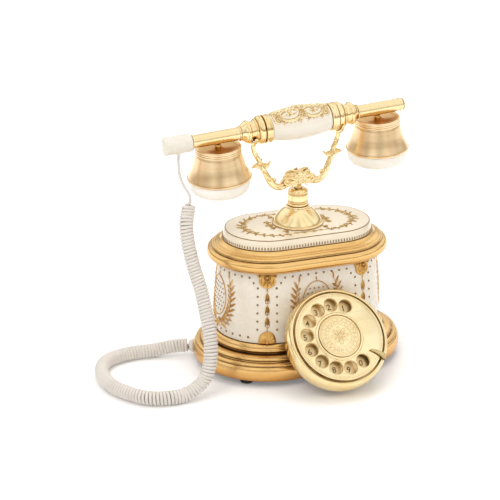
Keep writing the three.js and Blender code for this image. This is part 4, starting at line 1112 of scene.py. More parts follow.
for s in (-1, 1):
    hub.add(ellipsoid((s * 9.4, 0, 6.6), (2.4, 2.4, 2.4), 20))
    P = crom(A([(s * 1.0, 0, 6.6), (s * 4.0, 0, 8.9), (s * 7.8, 0, 9.8), (s * 11.4, 0, 9.0)]), 8)
    t = np.linspace(0, 1, len(P))
    hub.add(sweep(P, 3.0 * np.maximum(np.sin(math.pi * t**0.8), 0.25), 1.2, LEAF * A([1, 1.2]), A([0, 0, 1.0])))
    for q in (-1, 1):
        P = crom(A([(s * 0.8, q * 1.6, 6.4), (s * 1.6, q * 3.2, 7.6), (s * 3.4, q * 4.8, 7.4)]), 8)
        t = np.linspace(0, 1, len(P))
        hub.add(sweep(P, 1.3 * np.maximum(np.sin(math.pi * t**0.8), 0.25), 0.8, LEAF, A([0, 0, 1.0])))
P = crom(A([(0, 0, 6.0), (0.2, 0, 8.2), (0, 0, 9.8)]), 6)
hub.add(sweep(P, [1.9, 1.9, 1.8, 1.7, 1.6, 1.5, 1.35, 1.2, 1.0, 0.8, 0.6, 0.5, 0.4], 1.2, ring_shape(12), A([0, 1.0, 0])))
piece("cradle_boss", None, None, M_GOLD_C, "cradle", "polished_gold", sharp=0, rep=["cradle_hub"], me=cast("cradle_boss", *hub.out, 0.30, 3, G_CRADLE))

for s, side, inner in ((-1, "left", 11.6), (1, "right", 14.4)):
    arm = Acc()
    foot = UP - inner - 1.2
    main = crom(A([(10.2, 0, -1.6), (12.4, 0, -3.0), (15.6, 0, -4.2), (20.5, 0, -4.6), (25.0, 0, -2.6), (28.6, 0, 1.4), (31.4, 0, 6.6), (34.0, 0, 12.6), (36.6, 0, 18.6), (38.4, 0, 23.6), (41.2, 0, 29.6), (43.6, 0, 35.0), (45.0, 0, foot)]), 8)
    T = unit(np.gradient(main, axis=0))
    side_n = np.c_[T[:, 2], np.zeros(len(T)), -T[:, 0]]
    t = np.linspace(0, 1, len(main))
    for off, r in ((1.35, 2.0), (-1.35, 2.0)):
        P = main + side_n * off * np.interp(t, [0, 0.1, 0.5, 0.62, 0.9, 1], [0.7, 1, 1, 0.72, 0.62, 0.4])[:, None]
        rr = r * np.interp(t, [0, 0.15, 0.5, 0.66, 0.9, 1], [1.05, 1.0, 1.05, 0.86, 0.80, 0.95])
        arm.add(sweep(P * A([s, 1, 1]), rr * 1.25, rr, ring_shape(12), A([0, 1.0, 0])[None] * 0 + side_n * A([s, 1, 1])))
    core = 2.15 * np.interp(t, [0, 0.5, 0.66, 1], [1.1, 1.0, 0.85, 0.9])
    arm.add(sweep(main * A([s, 1, 1]), core * 1.1, core, ring_shape(10), side_n * A([s, 1, 1])))

    def cast_leaf(pts, w, h, N=(0, -1.0, 0), shape=LEAF, lo=0.2):
        P = crom(A(pts, dtype=float), 8) * A([s, 1, 1])
        u = np.linspace(0, 1, len(P))
        arm.add(sweep(P, w * np.maximum(np.sin(math.pi * u**0.75), lo), h * np.interp(u, [0, 0.4, 1], [1.0, 1.0, 0.5]), shape, A(N) * A([s, 1, 1])))

    # acanthus sprigs where the arm turns up, inwards and outwards, and small buds along it
    for q in (-1, 1):
        cast_leaf([(36.6, q * 1.2, 17.0), (34.4, q * 2.2, 19.8), (31.4, q * 2.2, 20.0), (28.8, q * 1.6, 21.6)], 2.3, 1.4, (0, q, 0.4), ring_shape(10))
        cast_leaf([(37.4, q * 1.2, 20.2), (40.4, q * 2.1, 20.2), (43.2, q * 1.8, 21.4), (46.0, q * 1.1, 20.2)], 2.1, 1.4, (0, q, 0.4), ring_shape(10))
        cast_leaf([(34.6, q * 2.4, 13.2), (36.8, q * 3.3, 18.4), (38.2, q * 2.8, 24.0)], 2.0, 1.5, (0, q, 0), ring_shape(10))
        cast_leaf([(38.8, q * 2.0, 25.0), (41.0, q * 2.6, 29.4), (43.0, q * 2.0, 33.6)], 1.6, 1.2, (0, q, 0), ring_shape(10))
        cast_leaf([(29.8, q * 2.2, 4.0), (32.4, q * 3.2, 8.6), (34.2, q * 2.6, 13.2)], 1.8, 1.3, (0, q, 0), ring_shape(10))
        cast_leaf([(14.6, q * 2.2, -4.0), (19.0, q * 3.2, -4.8), (24.0, q * 2.4, -3.2)], 1.8, 1.3, (0, q, 0), ring_shape(10))
    cast_leaf([(36.6, 0, 17.8), (34.4, 0, 21.4), (31.2, 0, 20.8), (28.0, 0, 23.0)], 3.4, 1.7, (0.2, 0, 1.0))
    cast_leaf([(37.6, 0, 21.2), (40.6, 0, 21.8), (43.6, 0, 22.8), (46.8, 0, 20.8)], 3.2, 1.6, (-0.1, 0, 1.0))
    cast_leaf([(38.6, 0, 24.4), (36.8, 0, 26.8), (36.4, 0, 29.2)], 1.7, 0.9, (-1.0, 0, 0.4))
    cast_leaf([(29.6, 0, 2.6), (27.2, 0, 4.6), (24.6, 0, 4.4), (23.4, 0, 2.8), (24.6, 0, 1.8)], 1.5, 1.3, (0, 0, 1.0), ring_shape(10))
    cast_leaf([(13.4, 0, -2.4), (14.0, 0, 0.6), (16.2, 0, 1.6), (18.2, 0, 0.2), (19.6, 0, -2.2)], 1.7, 1.4, (0, 0, 1.0), ring_shape(10))
    cast_leaf([(17.0, 0, -5.0), (20.0, 0, -6.6), (23.4, 0, -6.2)], 1.6, 0.9, (0, 0, -1.0))
    for c, r in (((37.0, 0, 19.6), 3.3), ((42.6, 0, 33.0), 2.7), ((31.6, 0, 6.8), 3.0), ((28.4, 0, 23.0), 1.4), ((46.6, 0, 20.6), 1.3)):
        arm.add(ellipsoid((s * c[0], c[1], c[2]), (r, r * 0.95, r), 18))
    # fork under the handset
    ft = np.linspace(-62, 62, 41)
    P = np.c_[np.full(41, s * 45.0), (inner + 1.2) * np.sin(ft * RAD), UP - (inner + 1.2) * np.cos(ft * RAD)]
    Nf = np.c_[np.zeros(41), -np.sin(ft * RAD), np.cos(ft * RAD)]
    arm.add(sweep(P, 1.75 * np.interp(np.abs(ft), [0, 50, 62], [1.25, 1.0, 0.8]), 1.15, A([(-1, -0.6), (-0.7, -1), (0.7, -1), (1, -0.6), (1, 0.6), (0.7, 1), (-0.7, 1), (-1, 0.6)]), Nf))
    for q in (-1, 1):
        e = P[0] if q < 0 else P[-1]
        arm.add(ellipsoid(e + A([0, q * 0.5, 0.2]), (1.95, 1.4, 1.4), 18))
        cast_leaf([(45.0, q * 2.0, foot - 0.5), (45.0, q * 5.4, foot - 0.3), (45.0, q * 8.6, foot + 2.4)], 1.6, 1.1, (0, 0, -1.0))
    piece("cradle_branch_" + side, None, None, M_GOLD_C, "cradle", "polished_gold", sharp=0, rep=["cradle_arm_" + side], me=cast("cradle_branch_" + side, *arm.out, 0.30, 3, G_CRADLE))

# ------------------------------------------------------------------ handset
GS = A([-30.85, -26, -20, -13, -6, 0, 6, 13, 20, 26, 30.85])
GR = A([12.6, 13.4, 14.5, 15.5, 16.0, 16.1, 16.0, 15.5, 14.5, 13.4, 12.6])
_gf = crom(np.c_[GR, GS], 10)


def grip_r(s):
    return np.interp(s, _gf[:, 1], _gf[:, 0])


piece("grip_porcelain", *lathe(profile([(5.2, -30.85, 1), *[(r, s, 1) if i in (0, 10) else (r, s) for i, (s, r) in enumerate(zip(GS, GR))], (5.2, 30.85, 1)], 5, 0.3, closed=True), 112, "x", closed=True), M_PORC, "handset", "porcelain", G_HAND, rep=["handset_grip"])


def on_grip(u, v, h):
    """u along the grip, v round it from the top, positive to the front."""
    r = grip_r(u) + 0.05 + np.maximum(h, -0.35)
    a = v / 15.6
    return np.c_[u, -r * np.sin(a), r * np.cos(a)]


fil = Relief()
for q in (-1, 1):
    up = 90 if q > 0 else 270
    # two open cartouches framed by C-scrolls
    for cs, rx, ry, cv in ((-11.8, 10.6, 6.8, 8.2), (12.0, 10.2, 6.6, 7.8)):
        for t0, t1, w in ((200, 345, 1.25), (195, 20, 1.15)):
            tt = np.linspace(t0, t1, 30) * RAD
            fil.rib([(cs + rx * math.cos(a), q * (cv - ry * math.sin(a))) for a in tt], [0.4, w, w * 1.2, w, 0.4], [0.7, 1.4, 1.6, 1.4, 0.7])
            fil.rib([(cs + (rx - 2.3) * math.cos(a), q * (cv - (ry - 2.0) * math.sin(a))) for a in tt], [0.25, 0.5, 0.25], [0.4, 0.9, 0.4])
        for e in (-1, 1):
            fil.spiral(cs + e * (rx - 0.4), q * (cv + 3.2), 2.5, 0.5, 90, e * q * 1.4, 0.8, 1.4)
            fil.leaf(cs + e * (rx - 2.6), q * (cv + 5.4), up - e * q * 18, 5.0, 2.4, 1.3, curl=e * q * 40)
            fil.leaf(cs + e * 3.2, q * (cv + ry - 0.6), up - e * q * 46, 4.6, 2.0, 1.2, curl=-e * q * 34)
            fil.leaf(cs + e * 0.8, q * (cv + ry - 0.2), up - e * q * 20, 3.4, 1.7, 1.1, curl=-e * q * 20)
            fil.leaf(cs + e * 5.4, q * (cv - 5.8), up + 180 - e * q * 30, 4.4, 2.2, 1.3, curl=e * q * 30)
        for k in range(6):
            a = k * math.pi / 3
            fil.leaf(cs + 0.5 * math.cos(a), q * (cv - 0.4) + 0.5 * math.sin(a), k * 60, 3.2, 1.7, 1.1)
        fil.dot(cs, q * (cv - 0.4), 0.9, 1.4)
        for e in (-1, 1):
            fil.leaf(cs + e * 3.2, q * (cv - 0.4), 90 - e * 90 + e * q * 12, 4.0, 1.7, 1.0, curl=-e * q * 24)
            fil.leaf(cs + e * 3.0, q * (cv + 1.4), 90 - e * 90 - e * q * 34, 3.2, 1.3, 0.9)
    # knot between them
    for d, ln in ((-52, 6.6), (-24, 7.8), (0, 8.8), (24, 7.8), (52, 6.6)):
        fil.leaf(0.2 + d * 0.02, q * 4.2, up + d, ln, 2.6, 1.7, curl=-d * 0.4)
    fil.dot(0.2, q * 4.0, 1.8, 1.9)
    for e in (-1, 1):
        fil.spiral(0.2 + e * 2.4, q * 13.0, 2.0, 0.4, 90 - e * 90, e * q * 1.3, 0.65, 1.3)
        # clusters running out to the ferrules
        for d, ln in ((150, 6.4), (178, 5.4), (122, 7.2), (92, 7.0), (62, 5.8), (206, 4.8)):
            dd = d if e < 0 else 180 - d
            fil.leaf(e * 23.2, q * 4.4, dd * q, ln * 0.94, 2.5, 1.6, curl=(16 if d > 100 else -16) * q * -e)
        fil.spiral(e * 24.6, q * 10.8, 2.5, 0.5, 90 + e * 90, e * -q * 1.5, 0.8, 1.4)
        fil.dot(e * 23.2, q * 4.4, 1.6, 1.8)
        fil.rib([(e * 22.6, q * 13.6), (e * 25.0, q * 15.0), (e * 27.4, q * 13.2), (e * 28.6, q * 9.0), (e * 28.8, q * 3.0)], [0.4, 0.9, 1.0, 0.9, 0.6], [0.7, 1.2, 1.3, 1.2, 0.9], per=7)
# spine along the top
for k in range(-7, 8):
    d = 0 if k > 0 else 180
    if k:
        fil.leaf(k * 3.6, 0.0, d, 5.4, 3.6, 1.9 + 0.5 * (k % 2))
        for e in (-1, 1):
            fil.leaf(k * 3.6, e * 1.0, d + e * (52 if k > 0 else -52), 4.4, 2.0, 1.5)
fil.dot(0, 0, 2.2, 2.4)
for c in (-12.0, 12.0, -23.4, 23.4):
    fil.dot(c, 0, 1.6, 2.3)
for k in range(10):
    a = k * math.pi / 5
    fil.dot(3.1 * math.cos(a), 3.1 * math.sin(a), 0.6, 1.4, n=8)
piece("grip_gilt_relief", *fil.laid(on_grip), M_GILT_H, "handset", "polished_gold", G_HAND, rep=["grip_filigree"])

for s, side in ((-1, "left"), (1, "right")):
    ax = "x" if s > 0 else "-x"
    sw = lambda pts: [(p[1], p[0], *p[2:]) for p in pts]
    piece("grip_ferrule_" + side, *lathe(profile(sw([
        (31.15, 12.6, 1), (31.4, 13.7), (32.0, 14.25), (32.9, 14.1), (34.4, 13.65), (35.8, 13.75), (36.9, 14.2), (37.6, 14.2), (37.9, 13.6, 1), (37.9, 5.2, 1), (31.15, 5.2, 1)]), 5, 0.1, closed=True),
        112, ax, closed=True), M_GOLD_H, "handset", "polished_gold", G_HAND, rep=["ferrule_" + side])
    piece("handset_knob_" + side, *lathe(profile(sw([
        (38.2, 12.4, 1), (38.6, 13.2), (39.6, 13.9), (41.2, 14.05), (42.8, 13.6), (44.0, 12.6), (44.7, 11.5, 1), (45.0, 11.0, 1), (45.3, 11.5, 1), (45.8, 11.75), (46.4, 11.6), (46.8, 11.1, 1), (47.2, 10.5, 1), (48.4, 9.9), (49.8, 9.7), (51.2, 9.95), (52.2, 10.5, 1),
        (52.6, 11.1, 1), (53.4, 11.55), (54.4, 11.6), (55.2, 11.35, 1), (55.6, 10.8, 1), (57.0, 10.1), (58.6, 8.9), (59.9, 7.9), (60.9, 7.3, 1), (60.9, 5.2, 1), (38.2, 5.2, 1)]), 5, 0.1, closed=True),
        112, ax, closed=True), M_GOLD_H, "handset", "polished_gold", G_HAND, rep=["knob_" + side])
    far = 118.6 if s < 0 else 110.3
    piece("handset_arm_" + side, *lathe(profile(sw([
        (61.2, 7.2, 1), (61.5, 7.55), (62.3, 7.5), (62.7, 7.1, 1), (62.9, 6.6, 1), (63.6, 6.45), (70.0, 6.4), (90.0, 6.4), (far - 4, 6.4), (far - 3.4, 6.6), (far - 1.2, 6.6), (far - 0.3, 6.4, 1), (far, 6.0, 1), (far, 4.2, 1), (61.2, 4.2, 1)]), 4, 0.1, closed=True),
        80, ax, closed=True), M_TUBE, "handset", "polished_gold", G_HAND, rep=["tube_" + side])

    bell, cap = ("receiver_bell", "receiver_cap") if s < 0 else ("transmitter_bell", "transmitter_cap")
    at = A([s * 84.0, 0, 0])
    V, F = lathe(profile([
        (0, -6.7), (2.7, -6.7, 1), (2.8, -7.4), (3.2, -8.6), (4.6, -9.3), (7.4, -9.6), (11.0, -9.7), (15.6, -9.7), (18.4, -9.3), (20.0, -8.75), (21.2, -8.5), (22.0, -8.9), (22.4, -9.7), (22.3, -10.6, 1), (21.9, -10.9, 1),
        (22.35, -11.3), (22.5, -12.0), (22.3, -12.6, 1), (22.0, -12.9, 1), (22.45, -13.3), (22.6, -13.9), (22.4, -14.5, 1), (22.15, -14.8, 1), (22.8, -16.5), (23.5, -19.0), (24.5, -22.6), (25.6, -26.4), (27.0, -30.6), (28.6, -34.6), (30.0, -37.8), (30.5, -39.0, 1),
        (30.3, -39.4, 1), (31.2, -39.7), (31.6, -40.4), (31.3, -41.2, 1), (29.0, -41.2, 1), (25.2, -34.0), (21.6, -24.0), (18.8, -13.4, 1), (0, -12.8)], 5, 0.1), 144)
    piece(bell + "_gold", V + at, F, M_BELL, "handset", "polished_gold", G_HAND, rep=[bell])
    V, F = lathe(profile([
        (0, -54.9), (10, -55.3), (19.2, -55.95), (20.4, -55.9), (24.0, -55.5), (27.0, -54.2), (29.0, -51.6), (30.1, -48.0), (30.3, -44.6), (30.0, -41.55, 1), (27.8, -41.55, 1), (27.8, -46.0, 1), (26.8, -50.4, 1), (24.6, -52.8, 1), (0, -52.8)], 5, 0.12), 128)
    me = mesh_mm(cap, V + at, F, G_HAND)
    holes = Acc()
    for x, y in [(0, 0)] + [(9 * math.cos(i * math.pi / 3), 9 * math.sin(i * math.pi / 3)) for i in range(6)] + [(15 * math.cos((i + 0.5) * math.pi / 6), 15 * math.sin((i + 0.5) * math.pi / 6)) for i in range(0)]:
        holes.add(lathe([(0, -60), (1.5, -60), (1.5, -45), (0, -45)], 24), (x, y, 0))
    piece(cap + "_white", None, None, M_WHITE, "handset", "white_plastic", rep=[cap], me=boolean(me, mesh_mm("h", holes.V + at, holes.f, G_HAND), cap + "_white"))

piece("arm_end_button", *lathe(profile([
    (0, 106.0), (3.8, 106.0, 1), (3.8, 110.6, 1), (6.1, 110.65, 1), (6.3, 111.0), (6.1, 111.6), (5.2, 111.95, 1), (4.8, 111.9, 1), (3.9, 112.2), (2.6, 112.4), (0, 112.45)], 4, 0.08), 64, "x"), M_GOLD_H, "handset", "polished_gold", G_HAND, rep=["tube_end_button"])

acc = Acc().add(lathe(profile([
    (0, 139.5), (5.0, 139.5), (7.2, 139.2), (8.4, 138.3), (8.95, 136.8), (9.0, 134.6), (9.0, 124.0), (9.0, 114.0), (8.9, 112.2), (8.6, 111.3), (8.0, 110.9, 1), (6.75, 110.9, 1), (6.75, 119.2, 1), (0, 119.2)], 6, 0.12), 96, "-x"))
inv_h = lambda p: (A(p) - G_HAND[1]) @ G_HAND[0]
exit_h = inv_h([-123.1, 0.75, 226.4])
for dx, r, z0 in ((0.0, 2.9, -10.2), (-6.6, 2.0, -9.6)):
    x0 = -124.1 + 1.0 if dx == 0 else -130.6
    x0 = exit_h[0] + dx
    acc.add(lathe(profile([(0, -5.0), (r, -5.0, 1), (r, z0 + 0.8), (r * 0.86, z0 + 0.2), (r * 0.6, z0, 1), (0, z0)], 3, 0.1), 32), (x0, 0, 0))
piece("cord_cap_white", *acc.out, M_CAPW, "handset", "white_plastic", G_HAND, rep=["cord_cap"])
piece("cord_cap_seal", *lathe(profile([(6.45, 110.1, 1), (7.2, 110.1), (7.7, 110.35), (7.7, 110.7), (7.2, 110.9), (6.45, 110.9, 1)], 3, 0.08, closed=True), 80, "-x", closed=True), M_DOT, "handset", "polished_gold", G_HAND)

# ------------------------------------------------------------------ dial
inv_d = lambda v: (v - G_DIAL[1]) @ G_DIAL[0]
house = mesh_mm("dial_bezel", *lathe(profile([
    (46.2, -0.2, 1), (46.5, 0.5), (47.3, 0.95), (48.3, 0.6), (49.3, -0.7), (50.3, -3.4), (50.9, -7.0), (51.0, -10.5), (50.6, -15.0), (49.7, -18.2), (48.0, -21.4), (45.6, -24.2), (42.0, -26.8), (38.0, -28.8), (33.0, -30.5), (26.0, -31.9), (14.0, -32.8), (0, -33.0),
    ], 4, 0.2) + profile([(0, -30.6), (12.0, -30.4), (21.5, -30.0), (33.4, -27.8), (41.4, -24.0), (46.2, -19.2), (48.3, -14.6), (48.5, -9.0, 1), (46.2, -2.4, 1)], 4, 0.1), 168, closed=True), G_DIAL)
k1 = Acc().add(stadium([(52.35, 36.0), (52.35, 38.2), (52.65, 50.0), (52.4, 61.0), (51.75, 72.0), (51.0, 83.0), (50.05, 93.0), (49.0, 101.0), (47.75, 108.7)], n_end=56, n_flat=20))
k2 = Acc().add(stadium([(74.3, 3.0), (74.3, 20.0), (73.3, 22.4), (71.2, 24.6), (68.6, 27.0), (58.2, 28.8), (57.4, 31.0), (57.4, 35.2), (53.8, 38.4)], n_end=56, n_flat=20))
house = boolean(house, mesh_mm("k1", *k1.out), "dial_bezel")
house = boolean(house, mesh_mm("k2", *k2.out), "dial_bezel")
piece("dial_bezel", None, None, M_HOUSE, "base", "polished_gold", rep=["dial_housing"], me=house)

rings = [(4.0, -7.0, 1), (46.6, -7.0, 1), (47.2, -6.3), (46.8, -5.85, 1), (42.2, -5.8, 1), (42.0, -5.5, 1), (41.4, -5.5, 1), (41.2, -5.8, 1), (24.4, -5.8, 1), (24.2, -5.5, 1), (23.4, -5.5, 1), (23.2, -5.8, 1), (4.0, -5.8, 1)]
piece("dial_number_disc", *lathe(profile(rings, 2, 0.08, closed=True), 144, closed=True), M_PLATE, "base", "satin_gold", G_DIAL, rep=["number_plate"])

HOLES = [((64.0 + 26.4 * i) * RAD) for i in range(10)]
cu = bpy.data.curves.new("wheel", "CURVE")
cu.dimensions, cu.fill_mode = "2D", "BOTH"
cu.extrude, cu.bevel_depth, cu.bevel_resolution = 0.75, 0.42, 3


def circle(cx, cy, r, n):
    sp = cu.splines.new("POLY")
    sp.points.add(n - 1)
    for i in range(n):
        a = i * 2 * math.pi / n
        sp.points[i].co = (cx + r * math.cos(a), cy + r * math.sin(a), 0, 1)
    sp.use_cyclic_u = True


circle(0, 0, 44.5 - 0.42, 200)
for t in HOLES:
    circle(32.5 * math.cos(t), 32.5 * math.sin(t), 6.6 + 0.42, 64)
wo = bpy.data.objects.new("wheel_tmp", cu)
bpy.context.scene.collection.objects.link(wo)
bpy.context.view_layer.update()
wm = bpy.data.meshes.new_from_object(wo.evaluated_get(bpy.context.evaluated_depsgraph_get()))
bpy.data.objects.remove(wo)
bm = bmesh.new()
bm.from_mesh(wm)
bmesh.ops.remove_doubles(bm, verts=bm.verts, dist=0.001)
bmesh.ops.dissolve_degenerate(bm, edges=bm.edges, dist=0.0005)
wv = A([v.co[:] for v in bm.verts])
wf = [tuple(v.index for v in f.verts) for f in bm.faces]
bm.free()
acc = Acc().add((wv, wf))
acc.add(lathe(profile([(21.5, 0.9, 1), (24.3, 0.9, 1), (24.3, 1.6), (23.9, 2.2), (23.2, 2.6), (22.4, 2.6), (21.9, 2.3), (21.5, 1.8, 1)], 3, 0.08, closed=True), 144, closed=True))
for t in HOLES:
    tt = np.arange(56) * 2 * math.pi / 56
    acc.add(sweep(np.c_[32.5 * math.cos(t) + 7.02 * np.cos(tt), 32.5 * math.sin(t) + 7.02 * np.sin(tt), np.full(56, 1.1)], 0.30, 0.36, RIB, A([0, 0, 1.0]), ring=True))
tt = np.arange(160) * 2 * math.pi / 160
for rr, ww in ((41.2, 0.22), (42.7, 0.42)):
    acc.add(sweep(np.c_[rr * np.cos(tt), rr * np.sin(tt), np.full(160, 1.1)], ww, ww * 1.15, RIB, A([0, 0, 1.0]), ring=True))
piece("dial_finger_wheel", *acc.out, M_WHEEL, "dial", "polished_gold", G_DIAL, sharp=30, rep=["finger_wheel"])


# medallion: a generic flower in a laurel ring
def medal_h(r, a):
    base = 2.15 + 0.25 * np.cos(np.clip(r / 21.0, 0, 1) * math.pi / 2)
    h = base
    h = h + 0.62 * np.exp(-((r - 20.0) / 0.42) ** 2) + 0.45 * np.exp(-((r - 17.9) / 0.32) ** 2) + 0.42 * np.exp(-((r - 11.6) / 0.30) ** 2)
    bead = np.cos(a * 56)
    h = h + 0.36 * np.clip(bead, 0, 1) ** 0.6 * np.exp(-((r - 18.95) / 0.45) ** 2)
    # laurel: leaves leaning along the ring on both sides of a stem
    for sgn, rc in ((1, 15.7), (-1, 13.9)):
        ph = a * 22 - sgn * (r - 14.8) * 0.9
        lobe = np.clip(np.cos(ph), 0, 1) ** 0.7
        h = h + 0.55 * lobe * np.exp(-((r - rc) / 0.85) ** 2)
    h = h + 0.30 * np.exp(-((r - 14.8) / 0.22) ** 2)
    # flower of eight petals with an inner ring of eight
    p1 = np.abs(np.cos(4 * a))
    e1 = 4.0 + 5.6 * p1**0.8
    h = h + 0.75 * np.clip(1 - (r / e1) ** 4, 0, 1) ** 0.6 * (0.55 + 0.45 * p1)
    h = h - 0.25 * np.exp(-((np.sin(4 * a) * np.maximum(r, 1) / 1.2) ** 2) * 0.8) * 0 - 0.22 * np.exp(-((np.sin(4 * a) * np.maximum(r, 1.0)) / 0.9) ** 2) * ((r > 2.6) & (r < 8.6))
    p2 = np.abs(np.sin(4 * a))
    h = h + 0.45 * np.clip(1 - (r / (2.2 + 2.6 * p2)) ** 4, 0, 1) ** 0.6
    h = h + 0.42 * np.sqrt(np.clip(1 - (r / 1.7) ** 2, 0, 1))
    return np.minimum(base + 1.55 * (h - base), 4.5)


nr, na = 84, 288
V, F = [(0.0, 0.0, 4.5)], []
ra = np.linspace(0, 2 * math.pi, na, endpoint=False)
for j in range(1, nr + 1):
    r = 20.55 * j / nr
    hh = medal_h(np.full(na, r), ra)
    V += list(zip(r * np.cos(ra), r * np.sin(ra), hh))
for r, z in ((20.95, 2.3), (21.0, 1.9), (20.6, 1.55)):
    V += list(zip(r * np.cos(ra), r * np.sin(ra), np.full(na, z)))
V.append((0, 0, 1.5))
F += [(0, 1 + i, 1 + (i + 1) % na) for i in range(na)]
for j in range(nr + 2):
    a, b = 1 + j * na, 1 + (j + 1) * na
    F += [(a + i, b + i, b + (i + 1) % na, a + (i + 1) % na) for i in range(na)]
a = 1 + (nr + 2) * na
F += [(a + (i + 1) % na, a + i, len(V) - 1) for i in range(na)]
piece("dial_medal", A(V), F, M_MEDAL, "dial", "polished_gold", G_DIAL, sharp=0, rep=["dial_medallion"])

# finger stop: a bowed tongue with a raised rim
acc = Acc()
t = np.linspace(0, 1, 26)
x = 49.0 - 16.6 * t
y = 1.5 * np.sin(t * math.pi * 0.9) - 0.2
w = np.interp(t, [0, 0.1, 0.55, 0.9, 1.0], [3.0, 2.8, 1.9, 1.1, 0.6])
acc.add(sweep(np.c_[x, y, 2.75 + 0.35 * np.sin(t * math.pi)], w, 0.62, A([(-1, -0.6), (-0.85, -1), (0.85, -1), (1, -0.6), (1, 0.5), (0.8, 1), (0.4, 0.75), (-0.4, 0.75), (-0.8, 1), (-1, 0.5)]), A([0, 0, 1.0])))
acc.add(ellipsoid((47.6, 0.2, 3.0), (1.5, 1.5, 0.95), 24))
acc.add(sweep(A([(48.9, 0, 2.9), (49.4, 0, 1.4), (49.5, 0, -0.6)]), 2.6, 0.5, A([(-1, -0.6), (-0.85, -1), (0.85, -1), (1, -0.6), (1, 0.6), (0.85, 1), (-0.85, 1), (-1, 0.6)]), A([1.0, 0, 0])))
Rz = rot("Z", -35.0)
piece("dial_finger_stop", acc.V @ Rz.T, acc.f, M_STOP_SHADED, "base", "polished_gold", G_DIAL, rep=["finger_stop"])

# digits on the number disc
acc = Acc()
for i, t in enumerate(HOLES):
    fc = bpy.data.curves.new("digit", "FONT")
    fc.body = str((i + 1) % 10)
    fc.size, fc.extrude, fc.offset = 8.2, 0.06, 0.10
    fc.align_x, fc.align_y = "CENTER", "CENTER"
    fc.resolution_u = 4
    fo = bpy.data.objects.new("digit_tmp", fc)
    bpy.context.scene.collection.objects.link(fo)
    bpy.context.view_layer.update()
    fm = bpy.data.meshes.new_from_object(fo.evaluated_get(bpy.context.evaluated_depsgraph_get()))
    bpy.data.objects.remove(fo)
    V = A([v.co[:] for v in fm.vertices])
    V[:, :2] -= (V[:, :2].min(0) + V[:, :2].max(0)) / 2
    acc.add((V, [tuple(p.vertices) for p in fm.polygons]), (32.5 * math.cos(t), 32.5 * math.sin(t), -5.72))
piece("dial_digits", *acc.out, M_DIGIT, "base", "satin_gold", G_DIAL, sharp=30)

# ------------------------------------------------------------------ gland on the plinth
Rg, g0 = rot("Z", 157.0), A([-33.2, 0, 12.0])
V, F = lathe(profile([(0, 73.4), (6.2, 73.4, 1), (6.7, 74.4), (6.8, 75.3), (6.3, 76.0, 1), (5.6, 76.2, 1), (5.6, 76.9), (5.1, 77.7), (4.4, 78.3, 1), (0, 78.4)], 3, 0.08), 56, "x")
piece("cord_bush", V @ Rg.T + g0, F, M_CORD, "base", "cord_white", rep=["cord_gland"])

# ------------------------------------------------------------------ cord
LEAD = A([(-123.1, 0.75, 226.4), (-123.4, 0.2, 217), (-123.0, -0.6, 207), (-120.6, -1.4, 198), (-116.6, -2.0, 190), (-113.6, -1.8, 184.4), (-112.6, -1.2, 178.6)])
COIL = A([(-113.6, -1.6, 176.4), (-116.6, -4.6, 167), (-119.6, -8.4, 157), (-119.4, -14, 138.5), (-116.8, -22, 117.5), (-113.6, -32, 98), (-112.4, -43, 79), (-112.4, -54, 60.2), (-113.8, -60.4, 46.5),
          (-117.5, -64.6, 29.6), (-126, -66.0, 15.6), (-142, -67.6, 7.8), (-161, -67.6, 7.4), (-178.4, -60.8, 7.4), (-192.6, -44.4, 7.4), (-202.8, -21.3, 7.4), (-203.4, 8.9, 7.4), (-192.4, 32.5, 7.4), (-175, 41.0, 7.4),
          (-157, 43.2, 7.4), (-140, 41.4, 7.6), (-126, 38.2, 10.0), (-115, 34.5, 11.8), (-106.4, 31.1, 12.0)])


def resample(P, step):
    d = np.concatenate([[0], np.cumsum(np.linalg.norm(np.diff(P, axis=0), axis=1))])
    n = max(2, int(round(d[-1] / step)))
    s = np.linspace(0, d[-1], n + 1)
    return np.c_[[np.interp(s, d, P[:, k]) for k in range(3)]].T, s


centre, S = resample(crom(COIL, 60), 0.15)
LEN = S[-1]
SPLIT = 146.0
T = unit(np.gradient(centre, axis=0))
Nt = np.zeros_like(T)
Nt[0] = unit(np.cross(T[0], A([0, 1.0, 0])))
for i in range(1, len(T)):
    v = Nt[i - 1] - T[i] * np.dot(Nt[i - 1], T[i])
    Nt[i] = v / np.linalg.norm(v)
Bt = np.cross(T, Nt)
PITCH, WIRE, HELIX = 3.2, 1.6, 5.5
phase = 2 * math.pi * S / PITCH
ease = lambda x: np.clip(x, 0, 1) ** 2 * (3 - 2 * np.clip(x, 0, 1))
rad = HELIX * ease(S / 4.2) * ease((LEN - S) / 1.3)
helix = centre + rad[:, None] * (np.cos(phase)[:, None] * Nt + np.sin(phase)[:, None] * Bt)
radial = np.cos(phase)[:, None] * Nt + np.sin(phase)[:, None] * Bt
wire_r = np.interp(S, [0, 4, LEN], [1.42, WIRE, WIRE])
lead = crom(LEAD, 16)
join = crom(np.vstack([lead[-8], lead[-1], helix[0], helix[8]]), 10)[10:21]
lead, _ = resample(np.vstack([lead, join[1:]]), 0.8)
